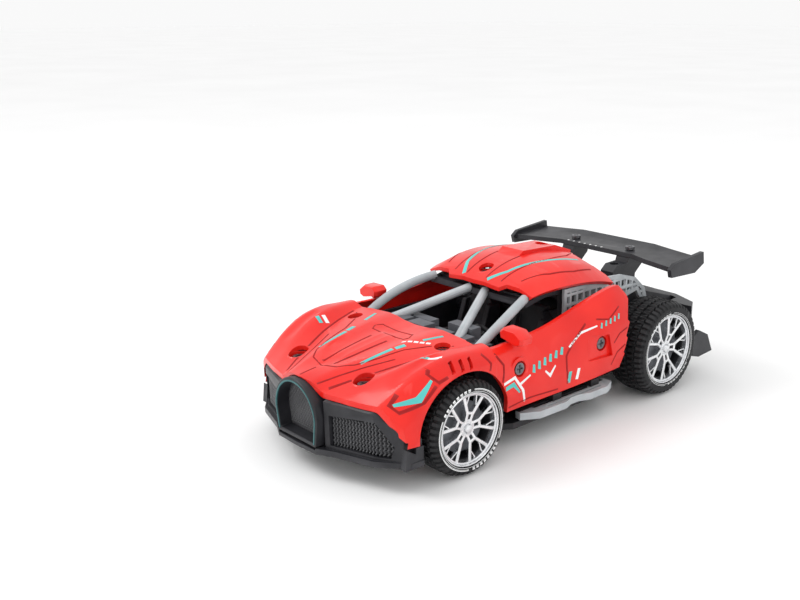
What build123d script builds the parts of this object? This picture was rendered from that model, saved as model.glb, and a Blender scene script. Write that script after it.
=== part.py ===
"""Pull back car, about 1:32, with a screwed-on body shell, an open tube cage and a clockwork rear drive.

Frame: X to the car's left, Y to the rear, Z up. Origin on the ground under the middle of the car.
Millimetres throughout. Every physical piece is one labelled part and one STEP file in parts/.
"""

import os
from math import acos, atan2, cos, degrees, pi, radians, sin, sqrt, tan

from build123d import *

os.makedirs("parts", exist_ok=True)

# ---------------------------------------------------------------- driving dimensions
length = 160.0              # front lip to diffuser
width = 80.0                # across the rear tyres
front_axle_y = -46.0
rear_axle_y = 47.5
front_tyre_r = 14.6
rear_tyre_r = 16.8
front_tyre_width = 11.0
rear_tyre_width = 15.0
front_outer_x = 39.5        # outer face of a front tyre
rear_outer_x = width / 2
front_rim_r = 11.3
rear_rim_r = 12.3
axle_r = 1.25
run_gap = 0.05              # radial gap of every running fit
fit_gap = 0.2               # gap between pieces that are assembled against each other
shell_wall = 1.5            # wall of the painted body panels
arch_gap = 2.6              # tyre tread to wheel arch
screw_shank_r = 0.9
screw_head_r = 1.9
screw_head_h = 1.3
recess_r = 2.5              # counterbore over each body screw
boss_r = 2.6

# chassis
floor_z = 6.0
floor_t = 2.0
floor_top = floor_z + floor_t
chassis_half = 22.0         # between the rear tyres
sill_half = 33.5            # between the wheels
sill_front_y = -27.0
sill_rear_y = 25.0
tub_floor_z = 13.4          # underside of the cabin floor
tub_floor_t = 1.4
tub_top = tub_floor_z + tub_floor_t

# body lines
hood_rear_y = -34.0
door_front_y = hood_rear_y + 0.25
door_wall = 1.6
roof_wall = 1.4
cage_tube_r = 1.5
wing_z = 44.6
wing_half = 38.5

# press-down front carriage
press_travel = 1.2
yoke_plate_t = 1.6
yoke_plate_z = front_tyre_r + 3.4
yoke_half = 18.0
yoke_cheek_t = 2.4
yoke_length = 16.0
guide_x = 12.0
guide_dy = 5.5
guide_r = 1.5
guide_foot_r = 2.4
retainer_z = yoke_plate_z + yoke_plate_t + 5.4
retainer_t = 1.4
pillar_r = 2.6

# clockwork motor
gear_module = 0.5
spring_teeth = 36
transfer_pinion_teeth = 10
transfer_wheel_teeth = 26
axle_gear_teeth = 12
gear_backlash = 0.12
addendum = 0.8
dedendum = 1.1
transfer_angle = 165.0      # direction from rear axle to transfer shaft, from +Y towards +Z
spring_angle = 178.0        # direction from transfer shaft to spring arbor
motor_half = 11.0
motor_wall = 1.2
transfer_shaft_r = 0.8
arbor_r = 1.0
spring_strip_t = 0.35
spring_strip_w = 6.0
spring_turns = 7


# ---------------------------------------------------------------- shared helpers
def save(part, name):
    """Labels a finished piece and writes its STEP file."""
    part.label = name
    export_step(part, f"parts/{name}.step")
    solids = part.solids()
    print(f"{name:28s} solids {len(solids)}  volume {part.volume:9.1f}  valid {part.is_valid}")
    return part


def both_sides(points):
    """Mirrors a half outline (x, z), which starts on the centre line, into a closed ring."""
    left = [(x, z) for x, z in points]
    right = [(-x, z) for x, z in reversed(points) if x > 0]
    return left + right


def section(y, points):
    """One closed cross-section of a body panel, in the vertical plane at y."""
    with BuildSketch(Plane.XZ.offset(-y)) as sketch:
        with BuildLine():
            Polyline(*points, close=True)
        make_face()
    return sketch.sketch


def interpolate(stations, y):
    """Half outline of the body at any y, linear between the stations either side of it."""
    keys = sorted(stations)
    low = max([k for k in keys if k <= y], default=keys[0])
    high = min([k for k in keys if k >= y], default=keys[-1])
    share = 0 if high == low else (y - low) / (high - low)
    pairs = zip(stations[low], stations[high])
    return [(a[0] + share * (b[0] - a[0]), a[1] + share * (b[1] - a[1])) for a, b in pairs]


def height_at(stations, x, y):
    """Height of the outer surface over the point (x, y)."""
    outline = interpolate(stations, y)
    for (x0, z0), (x1, z1) in zip(outline, outline[1:]):
        if x0 <= x <= x1:
            return z0 + (z1 - z0) * (x - x0) / (x1 - x0)
    return outline[-1][1]


def x_cylinder_plane(x):
    """A plane across the car at x, whose local x is the car's Y and local y is Z."""
    return Plane(origin=(x, 0, 0), x_dir=(0, 1, 0), z_dir=(1, 0, 0))


# ---------------------------------------------------------------- nose, hood and front wings: one casting
# y: centre, hood crown, valley, wing crest inner, wing crest outer, shoulder, foot
hood_stations = {
    -84: ((0, 24.6), (5, 24.6), (8.5, 22.8), (15, 19.5), (24, 15.5), (28, 10.0), (29, 2.0)),
    -77: ((0, 27.2), (6, 27.4), (10.0, 26.0), (17, 24.6), (27, 21.6), (32.5, 15.0), (33, 4.0)),
    -70: ((0, 29.8), (7, 30.4), (13.0, 28.4), (20, 28.2), (29.5, 26.4), (35.3, 19.0), (35.8, 8.0)),
    -62: ((0, 31.4), (9, 32.2), (17.0, 30.4), (23, 32.2), (31.5, 31.8), (36.8, 25.5), (37.2, 10.0)),
    -54: ((0, 32.8), (11, 33.6), (21.0, 32.2), (26, 35.2), (33, 35.2), (37.6, 31.0), (38.0, 12.0)),
    -46: ((0, 33.9), (12, 34.7), (24.2, 33.4), (28.5, 36.4), (34, 36.4), (37.9, 33.2), (38.2, 12.0)),
    -38: ((0, 34.7), (13, 35.5), (26.6, 34.4), (30.5, 36.4), (34.4, 36.0), (37.7, 33.0), (38.0, 12.0)),
    -30: ((0, 35.2), (13, 36.0), (27.6, 35.0), (31.5, 36.2), (34.6, 35.6), (37.2, 32.6), (37.6, 12.0)),
}
fold_index = 3              # outline points from here outwards move in sideways when the wall is offset


def inset(points, wall, drop):
    """The same half outline moved inwards by wall, its foot lowered by drop."""
    moved = []
    for index, (x, z) in enumerate(points):
        moved.append((x - (wall if index > fold_index else 0), z - wall))
    moved[-1] = (moved[-1][0], moved[-1][1] - drop)
    return moved


def hood_loft(wall=0.0, drop=0.0):
    """The solid under the hood surface, moved inwards by wall."""
    with BuildPart() as body:
        rings = [section(y, both_sides(inset(points, wall, drop))) for y, points in hood_stations.items()]
        loft(rings, ruled=True)
    return body.part


hood_outer = hood_loft()
hood_inner = hood_loft(shell_wall, 6.0)
hood_cavity = hood_loft(shell_wall + fit_gap, 0.0)

nose_y = -length / 2 + 2.2          # front edge of the painted nose
nose_corner = (36.0, -67.6)
arch_half = 9.6                     # half width of the round-topped grille mouth
arch_top_z = 27.4
arch_wall = 1.2
red_edge_z = 23.4                   # lower edge of the painted nose above the intakes
tip_z = 16.0                        # lowest point of the painted front corner
hood_screws = [(21.5, -41.0), (-21.5, -41.0)]
nose_screws = [(16.5, -66.5), (-16.5, -66.5)]
recess_depth = 2.6
recess_floor = 1.2


def arch_outline(grow):
    """Closed outline of the grille mouth in front view, enlarged by grow: straight sides and a round top."""
    half = arch_half + grow
    top = arch_top_z + grow
    base = 5.0
    with BuildSketch() as sketch:
        with BuildLine():
            Line((-half * 0.8, base), (-half, top - half))
            ThreePointArc((-half, top - half), (0, top), (half, top - half))
            Line((half, top - half), (half * 0.8, base))
            Line((half * 0.8, base), (-half * 0.8, base))
        make_face()
    return sketch.sketch


with BuildPart() as nose_limits:
    # plan view: arrow-shaped nose, straight rear edge
    with BuildSketch(Plane.XY) as plan:
        with BuildLine():
            Polyline(
                (0, nose_y), (arch_half + 1, nose_y + 1.4), (27, -71.6), nose_corner, (40, -64.0), (40, hood_rear_y),
                (28, hood_rear_y), (15, hood_rear_y + 1.0), (0, hood_rear_y + 1.8), (-15, hood_rear_y + 1.0),
                (-28, hood_rear_y), (-40, hood_rear_y), (-40, -64.0), (-36, -67.6), (-27, -71.6),
                (-arch_half - 1, nose_y + 1.4), close=True,
            )
        make_face()
    extrude(amount=45)
    # front view: everything below the painted lower edge is open for the bumper
    with BuildSketch(Plane.XZ.offset(90)) as below:
        with BuildLine():
            Polyline(
                (0, red_edge_z - 1.2), (26.5, red_edge_z), (36.2, tip_z), (36.2, 0), (-36.2, 0),
                (-36.2, tip_z), (-26.5, red_edge_z), close=True,
            )
        make_face()
    extrude(amount=-40, mode=Mode.SUBTRACT)
    # sill line of the front wing
    with BuildSketch(Plane.XY) as low:
        Rectangle(100, 200)
    extrude(amount=14.2, mode=Mode.SUBTRACT)

with BuildPart() as front_shell:
    add(hood_outer)
    add(hood_inner, mode=Mode.SUBTRACT)
    add(nose_limits.part, mode=Mode.INTERSECT)
    # wheel arches
    with Locations((31.0, front_axle_y, front_tyre_r), (-31.0, front_axle_y, front_tyre_r)):
        Cylinder(front_tyre_r + arch_gap, 16, rotation=(0, 90, 0), mode=Mode.SUBTRACT)
    # round-topped mouth
    with BuildSketch(Plane.XZ.offset(90)):
        add(arch_outline(arch_wall + fit_gap))
    extrude(amount=-20, mode=Mode.SUBTRACT)

with BuildPart() as shell_bosses:
    for x, y in hood_screws + nose_screws:
        top = height_at(hood_stations, abs(x), y)
        with Locations((x, y, top - recess_depth - recess_floor)):
            Cylinder(recess_r + 1.1, recess_depth + 4, align=(Align.CENTER, Align.CENTER, Align.MIN))
    add(hood_outer, mode=Mode.INTERSECT)

with BuildPart() as front_shell_done:
    add(front_shell.part)
    add(shell_bosses.part)
    for x, y in hood_screws + nose_screws:
        top = height_at(hood_stations, abs(x), y)
        with Locations((x, y, top - recess_depth)):
            Cylinder(recess_r, 10, align=(Align.CENTER, Align.CENTER, Align.MIN), mode=Mode.SUBTRACT)
        with Locations((x, y, top)):
            Cylinder(screw_shank_r + fit_gap, 20, mode=Mode.SUBTRACT)
    # four cooling slots over each front wheel
    for side in (1, -1):
        for step in range(3):
            with Locations((side * 35.6, -51.0 + 3.0 * step, 34.6)):
                Box(2.4, 1.5, 3.4, rotation=(18, side * 28, 0), mode=Mode.SUBTRACT)
save(front_shell_done.part, "front_shell")

# ---------------------------------------------------------------- door and rear quarter panels
# y: foot, lower crease, mid crease, upper crease, top edge (x, z), outer surface of the left panel
door_stations = {
    -36: ((36.8, 14.2), (37.6, 20.0), (37.4, 28.0), (36.4, 33.4), (34.2, 35.4)),
    -28: ((36.4, 14.2), (37.4, 20.0), (36.6, 27.0), (35.2, 32.6), (33.6, 34.6)),
    -18: ((36.2, 14.2), (37.2, 20.5), (35.6, 26.5), (34.8, 32.4), (33.2, 34.9)),
    -6: ((36.2, 14.2), (37.0, 20.5), (35.4, 27.5), (34.6, 33.6), (32.8, 36.2)),
    5: ((36.2, 14.3), (36.8, 20.5), (36.2, 28.0), (34.6, 35.2), (32.2, 38.4)),
    15: ((36.2, 14.6), (37.4, 21.0), (37.2, 29.0), (35.2, 37.2), (32.0, 40.6)),
    23: ((36.2, 15.0), (37.6, 21.5), (37.4, 30.0), (35.4, 38.2), (31.8, 42.0)),
    31: ((36.2, 15.4), (37.2, 21.5), (37.0, 30.0), (34.8, 37.6), (31.4, 41.0)),
}
door_screws = [(-23.0, 26.6), (14.8, 25.8)]     # (y, z)
door_screw_floor_x = 33.6                        # inner face of the screw seats


def door_section(y, points, wall):
    ring = list(points) + [(x - wall, z) for x, z in reversed(points)]
    return section(y, ring)


def side_panel():
    """The left panel; the right one is its mirror image."""
    with BuildPart() as panel:
        loft([door_section(y, points, door_wall) for y, points in door_stations.items()])
        # screw seats reach inwards
        for y, z in door_screws:
            with Locations((door_screw_floor_x, y, z)):
                Cylinder(recess_r + 1.2, 2.6, rotation=(0, 90, 0), align=(Align.CENTER, Align.CENTER, Align.MIN))
        # side view outline: wheel arch in front, stepped trailing edge behind
        with BuildSketch(Plane.YZ.offset(20)):
            with BuildLine():
                Polyline(
                    (door_front_y, 36.5), (door_front_y, 24.0), (door_front_y + 0.8, 12.0), (24.2, 12.0), (24.9, 16.0), (26.2, 19.8), (25.4, 20.6),
                    (27.2, 25.2), (26.4, 26.0), (28.2, 30.6), (27.4, 31.4), (29.8, 39.0), (28.0, 43.0),
                    (22.0, 43.0), (door_front_y, 43.0), close=True,
                )
            make_face()
        extrude(amount=30, mode=Mode.INTERSECT)
        with Locations((31.0, front_axle_y, front_tyre_r)):
            Cylinder(front_tyre_r + arch_gap, 16, rotation=(0, 90, 0), mode=Mode.SUBTRACT)
        for y, z in door_screws:
            with Locations((door_screw_floor_x + 1.2, y, z)):
                Cylinder(recess_r, 8, rotation=(0, 90, 0), align=(Align.CENTER, Align.CENTER, Align.MIN),
                         mode=Mode.SUBTRACT)
            with Locations((door_screw_floor_x, y, z)):
                Cylinder(screw_shank_r + fit_gap, 12, rotation=(0, 90, 0), mode=Mode.SUBTRACT)
        # triangular air scoop around the rear screw
        with BuildSketch(Plane.YZ.offset(36.4)):
            with BuildLine():
                Polyline((8.0, 29.6), (17.4, 28.6), (19.2, 21.0), (8.2, 21.4), close=True)
            make_face()
        extrude(amount=5, mode=Mode.SUBTRACT)
    return panel.part


left_panel = side_panel()
save(left_panel, "side_panel_left")
right_panel = mirror(side_panel(), about=Plane.YZ)
save(right_panel, "side_panel_right")


# ---------------------------------------------------------------- door mirrors
mirror_y = -23.5
mirror_z = 36.2


def mirror_outline(y, shrink):
    """Front view of the housing at y, drawn in by shrink all round."""
    middle_x, middle_z = 35.0, 36.7
    ring = [(30.2, 35.9), (29.8, 37.8), (31.4, 39.2), (36.8, 39.0), (39.6, 37.0), (39.4, 35.2), (37.4, 34.4),
            (33.0, 35.4)]
    return section(y, [
        (middle_x + (x - middle_x) * (1 - shrink), middle_z + (z - middle_z) * (1 - shrink)) for x, z in ring
    ])


def door_mirror():
    """The left mirror: a housing with chamfered ends on a foot that stands on the door's top edge."""
    with BuildPart() as housing:
        loft([mirror_outline(mirror_y - 2.6, 0.16), mirror_outline(mirror_y - 1.6, 0.0)], ruled=True)
        loft([mirror_outline(mirror_y - 1.6, 0.0), mirror_outline(mirror_y + 2.0, 0.0)], ruled=True)
        loft([mirror_outline(mirror_y + 2.0, 0.0), mirror_outline(mirror_y + 2.6, 0.1)], ruled=True)
        with Locations((32.9, mirror_y, height_door(mirror_y) + 0.05)):
            Box(1.4, 3.0, 2.4, align=(Align.CENTER, Align.CENTER, Align.MIN))
    return housing.part


def height_door(y):
    """Highest point of the door's top edge near the mirror."""
    return max(interpolate(door_stations, y - 3)[-1][1], interpolate(door_stations, y + 3)[-1][1])


save(door_mirror(), "mirror_left")
save(mirror(door_mirror(), about=Plane.YZ), "mirror_right")

# ---------------------------------------------------------------- roof panel
# y: centre, scoop edge, crease, shoulder, lower edge
roof_stations = {
    -12: ((0, 41.4), (5, 41.7), (11, 41.2), (19, 40.4), (23.6, 39.6)),
    -5: ((0, 46.8), (5, 47.1), (11, 46.6), (19.4, 45.8), (25.0, 43.4)),
    4: ((0, 49.8), (5, 50.1), (11, 49.6), (20, 48.2), (26.4, 44.6)),
    14: ((0, 51.2), (5, 51.0), (11, 50.4), (20.2, 48.8), (26.8, 44.4)),
    24: ((0, 50.6), (5, 50.2), (11, 49.6), (20.2, 47.6), (26.8, 43.2)),
    36: ((0, 47.0), (5, 46.8), (11, 46.4), (20, 43.8), (26.6, 39.6)),
}
roof_front_y = -8.4
roof_rear_y = 31.5
roof_screws = [(0.0, -2.4), (0.0, 24.6)]


def roof_loft(wall=0.0):
    """The smooth body under the roof surface, moved down and in by wall."""
    with BuildPart() as body:
        sections = []
        for y, points in roof_stations.items():
            outline = [(x, z - wall) for x, z in points[:-1]]
            outline.append((points[-1][0] - wall, points[-1][1] - 0.2 * wall))
            outline.append((points[-1][0] - 1.4 - 0.4 * wall, points[-1][1] - 1.2 - 2 * wall))
            sections.append(section(y, both_sides(outline)))
        loft(sections)
    return body.part


with BuildPart() as roof_plan:
    with BuildSketch(Plane.XY):
        with BuildLine():
            Polyline(
                (12, roof_front_y), (14, roof_front_y + 1.8), (25, roof_front_y + 2.4), (27.4, 8), (27.4, 27),
                (27.4, roof_rear_y), (23.4, roof_rear_y), (20, roof_rear_y - 3), (9, roof_rear_y - 2.2),
                (6, roof_rear_y + 2.4), (-6, roof_rear_y + 2.4), (-9, roof_rear_y - 2.2), (-20, roof_rear_y - 3),
                (-23.4, roof_rear_y), (-27.4, roof_rear_y), (-27.4, 27), (-27.4, 8), (-25, roof_front_y + 2.4),
                (-14, roof_front_y + 1.8), (-12, roof_front_y), close=True,
            )
        make_face()
    extrude(amount=70)

with BuildPart() as roof_panel:
    add(roof_loft())
    add(roof_loft(roof_wall), mode=Mode.SUBTRACT)
    # raised air scoop along the middle
    with BuildSketch(Plane.YZ):
        with BuildLine():
            Polyline((6.0, 49.4), (10.0, 52.2), (26.0, 51.6), (34.0, 48.6), (34.0, 45.8), (24.0, 49.2),
                     (14.0, 50.0), close=True)
        make_face()
    extrude(amount=5.0, both=True)
    add(roof_plan.part, mode=Mode.INTERSECT)
    for x, y in roof_screws:
        top = height_at(roof_stations, x, y)
        with Locations((x, y, top - recess_depth - 1.0)):
            Cylinder(recess_r + 1.1, 2.4, align=(Align.CENTER, Align.CENTER, Align.MIN))
        with Locations((x, y, top - recess_depth)):
            Cylinder(recess_r, 10, align=(Align.CENTER, Align.CENTER, Align.MIN), mode=Mode.SUBTRACT)
        with Locations((x, y, top)):
            Cylinder(screw_shank_r + fit_gap, 20, mode=Mode.SUBTRACT)
save(roof_panel.part, "roof_panel")


# ---------------------------------------------------------------- screws and tubes
def screw(length, head_r=screw_head_r, head_h=screw_head_h, shank_r=screw_shank_r):
    """A cross-head screw: seat at the origin, head upwards, shank downwards."""
    with BuildPart() as body:
        Cylinder(head_r, head_h, align=(Align.CENTER, Align.CENTER, Align.MIN))
        Cylinder(shank_r, length, align=(Align.CENTER, Align.CENTER, Align.MAX))
        with Locations((0, 0, head_h)):
            Box(head_r * 1.3, 0.5, 0.9, mode=Mode.SUBTRACT)
            Box(0.5, head_r * 1.3, 0.9, mode=Mode.SUBTRACT)
    return body.part


def tube(path_points, radius):
    """A round bar through two or three points."""
    with BuildPart() as bar:
        with BuildLine() as path:
            if len(path_points) == 2:
                Line(*path_points)
            else:
                ThreePointArc(*path_points)
        with BuildSketch(Plane(origin=path.line @ 0, z_dir=path.line % 0)):
            Circle(radius)
        sweep()
    return bar.part


screw_clear = screw_shank_r + 0.05

# ---------------------------------------------------------------- chassis
board_pillars = [(9.0, -65.5), (-9.0, -65.5)]
board_z = yoke_plate_z + yoke_plate_t + press_travel + 1.7
retainer_pillars = [(0.0, front_axle_y - 11.4), (0.0, front_axle_y + 11.4)]
front_posts = [(21.9, -41.0), (-21.9, -41.0)] + nose_screws
battery_xy = [(-13.4, -12.0), (0.0, -12.0), (13.4, -12.0)]
battery_r = 5.8
battery_h = 5.4
battery_pocket = (21.0, 7.0)        # half width, half length
battery_y = -12.0
cover_t = 1.2
cover_ear_r = 3.2                   # ear of the battery cover, sunk in a cup in the floor
cover_ear_y = battery_y - battery_pocket[1] - 4.2
cover_ear_z = floor_z + screw_head_h + 0.2
cup_gap = fit_gap
cup_wall = 1.3
speaker_y = 3.5
speaker_r = 6.2
step_bracket_y = [-4.0, 14.5]
rear_post_y = 68.0
motor_y0, motor_y1 = 15.2, 54.4
motor_z0, motor_z1 = floor_top, 31.0
motor_foot_y = [13.2, 56.4]
bumper_post_x = 18.0
tub_screw_xy = [(20.0, -24.0), (-20.0, -24.0), (24.0, 9.0), (-24.0, 9.0)]



def ear_outline(grow, reach):
    """Round-ended tab from the battery pocket's front wall, grown by grow, running reach into the pocket."""
    with BuildSketch() as outline:
        with Locations((0, cover_ear_y)):
            Circle(cover_ear_r + grow)
        tab = battery_y - battery_pocket[1] + reach - cover_ear_y
        with Locations((0, cover_ear_y + tab / 2)):
            Rectangle(2 * (cover_ear_r + grow), tab)
    return outline.sketch


with BuildPart() as chassis:
    with BuildSketch(Plane.XY.offset(floor_z)):
        with BuildLine():
            half_plan = [
                (0, -74.0), (12, -73.4), (25.5, -66.0), (25.5, -63.0), (chassis_half, -60.0),
                (chassis_half, -32.0), (sill_half - 3, sill_front_y), (sill_half, sill_front_y + 4),
                (sill_half, sill_rear_y - 3), (sill_half - 4, sill_rear_y), (chassis_half, sill_rear_y + 3),
                (chassis_half, 66.0), (26.0, 69.0), (26.0, 76.0), (0, 76.0),
            ]
            ring = half_plan + [(-x, y) for x, y in reversed(half_plan) if x > 0]
            Polyline(*ring, close=True)
        make_face()
    extrude(amount=floor_t)
    # carriage guides: shouldered posts, the yoke rests on the shoulders
    for dx in (guide_x, -guide_x):
        for dy in (guide_dy, -guide_dy):
            with Locations((dx, front_axle_y + dy, floor_top)):
                Cylinder(guide_foot_r, yoke_plate_z - floor_top, align=(Align.CENTER, Align.CENTER, Align.MIN))
                Cylinder(guide_r, retainer_z - floor_top, align=(Align.CENTER, Align.CENTER, Align.MIN))
    for x, y in retainer_pillars:
        with Locations((x, y, floor_top)):
            Cylinder(pillar_r, retainer_z - floor_top, align=(Align.CENTER, Align.CENTER, Align.MIN))
    for x, y in board_pillars:
        with Locations((x, y, floor_top)):
            Cylinder(2.2, board_z - floor_top, align=(Align.CENTER, Align.CENTER, Align.MIN))
    # posts under the four body screws
    for x, y in hood_screws + nose_screws:
        seat = height_at(hood_stations, abs(x), y) - recess_depth - recess_floor
        with Locations((x, y, floor_top)):
            Cylinder(pillar_r, seat - floor_top, align=(Align.CENTER, Align.CENTER, Align.MIN))
    # rear post for the deck, two posts for the bumper
    with Locations((0, rear_post_y, floor_top)):
        Cylinder(pillar_r, 16.0, align=(Align.CENTER, Align.CENTER, Align.MIN))
    # battery pocket walls
    with Locations((0, battery_y, floor_top)):
        Box(2 * battery_pocket[0] + 2.4, 2 * battery_pocket[1] + 2.4, tub_floor_z - floor_top - 0.2,
            align=(Align.CENTER, Align.CENTER, Align.MIN))
    # speaker locating ring
    with Locations((0, speaker_y, floor_top)):
        Cylinder(speaker_r + 0.9, 2.0, align=(Align.CENTER, Align.CENTER, Align.MIN))
        Cylinder(speaker_r + 0.1, 2.0, align=(Align.CENTER, Align.CENTER, Align.MIN), mode=Mode.SUBTRACT)
    # cabin posts
    for x, y in tub_screw_xy:
        with Locations((x, y, floor_top)):
            Cylinder(pillar_r, tub_floor_z - floor_top, align=(Align.CENTER, Align.CENTER, Align.MIN))
    # rib along each sill
    for side in (1, -1):
        with Locations((side * (sill_half - 1.2), 0, floor_top)):
            Box(1.6, 40, 3.0, align=(Align.CENTER, Align.CENTER, Align.MIN))
        with Locations((side * 20.6, 44.0, floor_top)):
            Box(1.6, 42, 3.0, align=(Align.CENTER, Align.CENTER, Align.MIN))
        # brackets of the side steps
        for y in step_bracket_y:
            with Locations((side * 30.6, y, floor_top)):
                Box(7.6, 4.0, 5.0, align=(Align.CENTER, Align.CENTER, Align.MIN))
    # openings
    with Locations((0, battery_y, floor_z)):
        Box(2 * battery_pocket[0], 2 * battery_pocket[1], 20, mode=Mode.SUBTRACT)
    # cup for the ear of the battery cover
    with BuildSketch(Plane.XY.offset(floor_z)):
        add(ear_outline(cup_gap + cup_wall, 0))
    extrude(amount=cover_ear_z + cover_t + cup_gap + cup_wall - floor_z)
    with BuildSketch(Plane.XY.offset(floor_z)):
        add(ear_outline(cup_gap, 2.0))
    extrude(amount=cover_ear_z + cover_t + cup_gap - floor_z, mode=Mode.SUBTRACT)
    for dx in (-4, 0, 4):
        for dy in (-4, 0, 4):
            with Locations((dx, speaker_y + dy, floor_z)):
                Cylinder(0.8, 10, mode=Mode.SUBTRACT)
    for x, y in board_pillars + retainer_pillars + hood_screws + nose_screws + [(0, rear_post_y)]:
        with Locations((x, y, floor_z + 1.0)):
            Cylinder(screw_clear, 60, align=(Align.CENTER, Align.CENTER, Align.MIN), mode=Mode.SUBTRACT)
    for x, y in tub_screw_xy:
        with Locations((x, y, floor_z)):
            Cylinder(screw_clear, 60, mode=Mode.SUBTRACT)
            Cylinder(recess_r, 2.6, mode=Mode.SUBTRACT)
    for y in motor_foot_y:
        with Locations((0, y, floor_z)):
            Cylinder(screw_clear, 30, mode=Mode.SUBTRACT)
            Cylinder(recess_r, 2.6, mode=Mode.SUBTRACT)
    for x in (bumper_post_x, -bumper_post_x):
        with Locations((x, 72.6, floor_z)):
            Cylinder(screw_clear, 30, mode=Mode.SUBTRACT)
            Cylinder(recess_r, 2.6, mode=Mode.SUBTRACT)
        with Locations((x * 0.5, -70.0, floor_z)):
            Cylinder(screw_clear, 30, mode=Mode.SUBTRACT)
            Cylinder(recess_r, 2.6, mode=Mode.SUBTRACT)
    with Locations((0, cover_ear_y, floor_z)):
        Cylinder(screw_clear, 30, mode=Mode.SUBTRACT)
save(chassis.part, "chassis")

# ---------------------------------------------------------------- battery cells, cover and its screw
with BuildPart() as battery_cells:
    for x, y in battery_xy:
        with Locations((x, y, floor_z + cover_t + 0.3)):
            Cylinder(battery_r, battery_h - 0.4, align=(Align.CENTER, Align.CENTER, Align.MIN))
        with Locations((x, y, floor_z + cover_t + 0.3 + battery_h - 0.4)):
            Cylinder(battery_r - 1.3, 0.4, align=(Align.CENTER, Align.CENTER, Align.MIN))
save(battery_cells.part, "battery_cells")

with BuildPart() as battery_cover:
    with Locations((0, battery_y, floor_z)):
        Box(2 * battery_pocket[0] - 0.4, 2 * battery_pocket[1] - 0.4, cover_t,
            align=(Align.CENTER, Align.CENTER, Align.MIN))
    # sunk ear and the riser that joins it to the plate
    with BuildSketch(Plane.XY.offset(cover_ear_z)):
        add(ear_outline(0, 1.0))
    extrude(amount=cover_t)
    with Locations((0, battery_y - battery_pocket[1] + 0.6, floor_z)):
        Box(2 * cover_ear_r, 0.8, cover_ear_z + cover_t - floor_z, align=(Align.CENTER, Align.CENTER, Align.MIN))
    for dx in range(-3, 4):
        with Locations((dx * 5.0, battery_y + 2.0, floor_z)):
            Box(2.0, 6.0, 0.8, mode=Mode.SUBTRACT)
    with Locations((0, cover_ear_y, floor_z)):
        Cylinder(screw_clear, 10, mode=Mode.SUBTRACT)
save(battery_cover.part, "battery_cover")

with BuildPart() as battery_screw:
    add(screw(4.2).moved(Location((0, cover_ear_y, cover_ear_z), (180, 0, 0))))
save(battery_screw.part, "battery_screw")

# ---------------------------------------------------------------- sound unit: speaker and circuit board
with BuildPart() as speaker:
    with Locations((0, speaker_y, floor_top)):
        Cylinder(speaker_r, 1.4, align=(Align.CENTER, Align.CENTER, Align.MIN))
    with Locations((0, speaker_y, floor_top + 1.4)):
        Cylinder(speaker_r - 1.6, 1.2, align=(Align.CENTER, Align.CENTER, Align.MIN))
    with Locations((0, speaker_y, floor_top + 2.6)):
        Cylinder(3.6, 2.0, align=(Align.CENTER, Align.CENTER, Align.MIN))
save(speaker.part, "speaker")

board_t = 1.2
with BuildPart() as circuit_board:
    with Locations((0, -64.0, board_z)):
        Box(25.0, 9.0, board_t, align=(Align.CENTER, Align.CENTER, Align.MIN))
    with Locations((0, front_axle_y - 12.8, board_z)):
        Box(25.0, 5.0, board_t, align=(Align.CENTER, Align.CENTER, Align.MIN))
    with Locations((-4.5, -63.0, board_z + board_t)):
        Box(4.0, 4.0, 1.0, align=(Align.CENTER, Align.CENTER, Align.MIN))
    with Locations((4.0, -62.0, board_z + board_t)):
        Cylinder(1.6, 1.8, align=(Align.CENTER, Align.CENTER, Align.MIN))
    # push switches over the two ears of the carriage
    for x in (8.5, -8.5):
        with Locations((x, front_axle_y - 12.6, board_z)):
            Box(4.0, 3.0, 1.0, align=(Align.CENTER, Align.CENTER, Align.MAX))
        with Locations((x, front_axle_y - 12.6, board_z - 1.0)):
            Cylinder(0.9, 0.6, align=(Align.CENTER, Align.CENTER, Align.MAX))
    for x, y in board_pillars:
        with Locations((x, y, board_z)):
            Cylinder(screw_clear, 10, mode=Mode.SUBTRACT)
    for x, y in retainer_pillars:
        with Locations((x, y, board_z)):
            Cylinder(pillar_r + 0.3, 10, mode=Mode.SUBTRACT)
save(circuit_board.part, "circuit_board")

# ---------------------------------------------------------------- press-down front carriage
with BuildPart() as front_yoke:
    with Locations((0, front_axle_y, yoke_plate_z)):
        Box(2 * yoke_half, yoke_length, yoke_plate_t, align=(Align.CENTER, Align.CENTER, Align.MIN))
    for side in (1, -1):
        with Locations((side * (yoke_half - yoke_cheek_t / 2), front_axle_y, front_tyre_r - 3.0)):
            Box(yoke_cheek_t, 9.0, yoke_plate_z - front_tyre_r + 3.0,
                align=(Align.CENTER, Align.CENTER, Align.MIN))
        with Locations((side * 8.5, front_axle_y - 10.6, yoke_plate_z)):
            Box(5.0, 5.6, yoke_plate_t, align=(Align.CENTER, Align.CENTER, Align.MIN))
    with Locations((0, front_axle_y, front_tyre_r)):
        Cylinder(axle_r + run_gap, 80, rotation=(0, 90, 0), mode=Mode.SUBTRACT)
    for dx in (guide_x, -guide_x):
        for dy in (guide_dy, -guide_dy):
            with Locations((dx, front_axle_y + dy, yoke_plate_z)):
                Cylinder(guide_r + run_gap, 10, mode=Mode.SUBTRACT)
    # seat ring of the return spring
    with Locations((0, front_axle_y, yoke_plate_z + yoke_plate_t)):
        Cylinder(5.2, 0.8, align=(Align.CENTER, Align.CENTER, Align.MIN))
        Cylinder(4.4, 0.8, align=(Align.CENTER, Align.CENTER, Align.MIN), mode=Mode.SUBTRACT)
save(front_yoke.part, "front_yoke")

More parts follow.
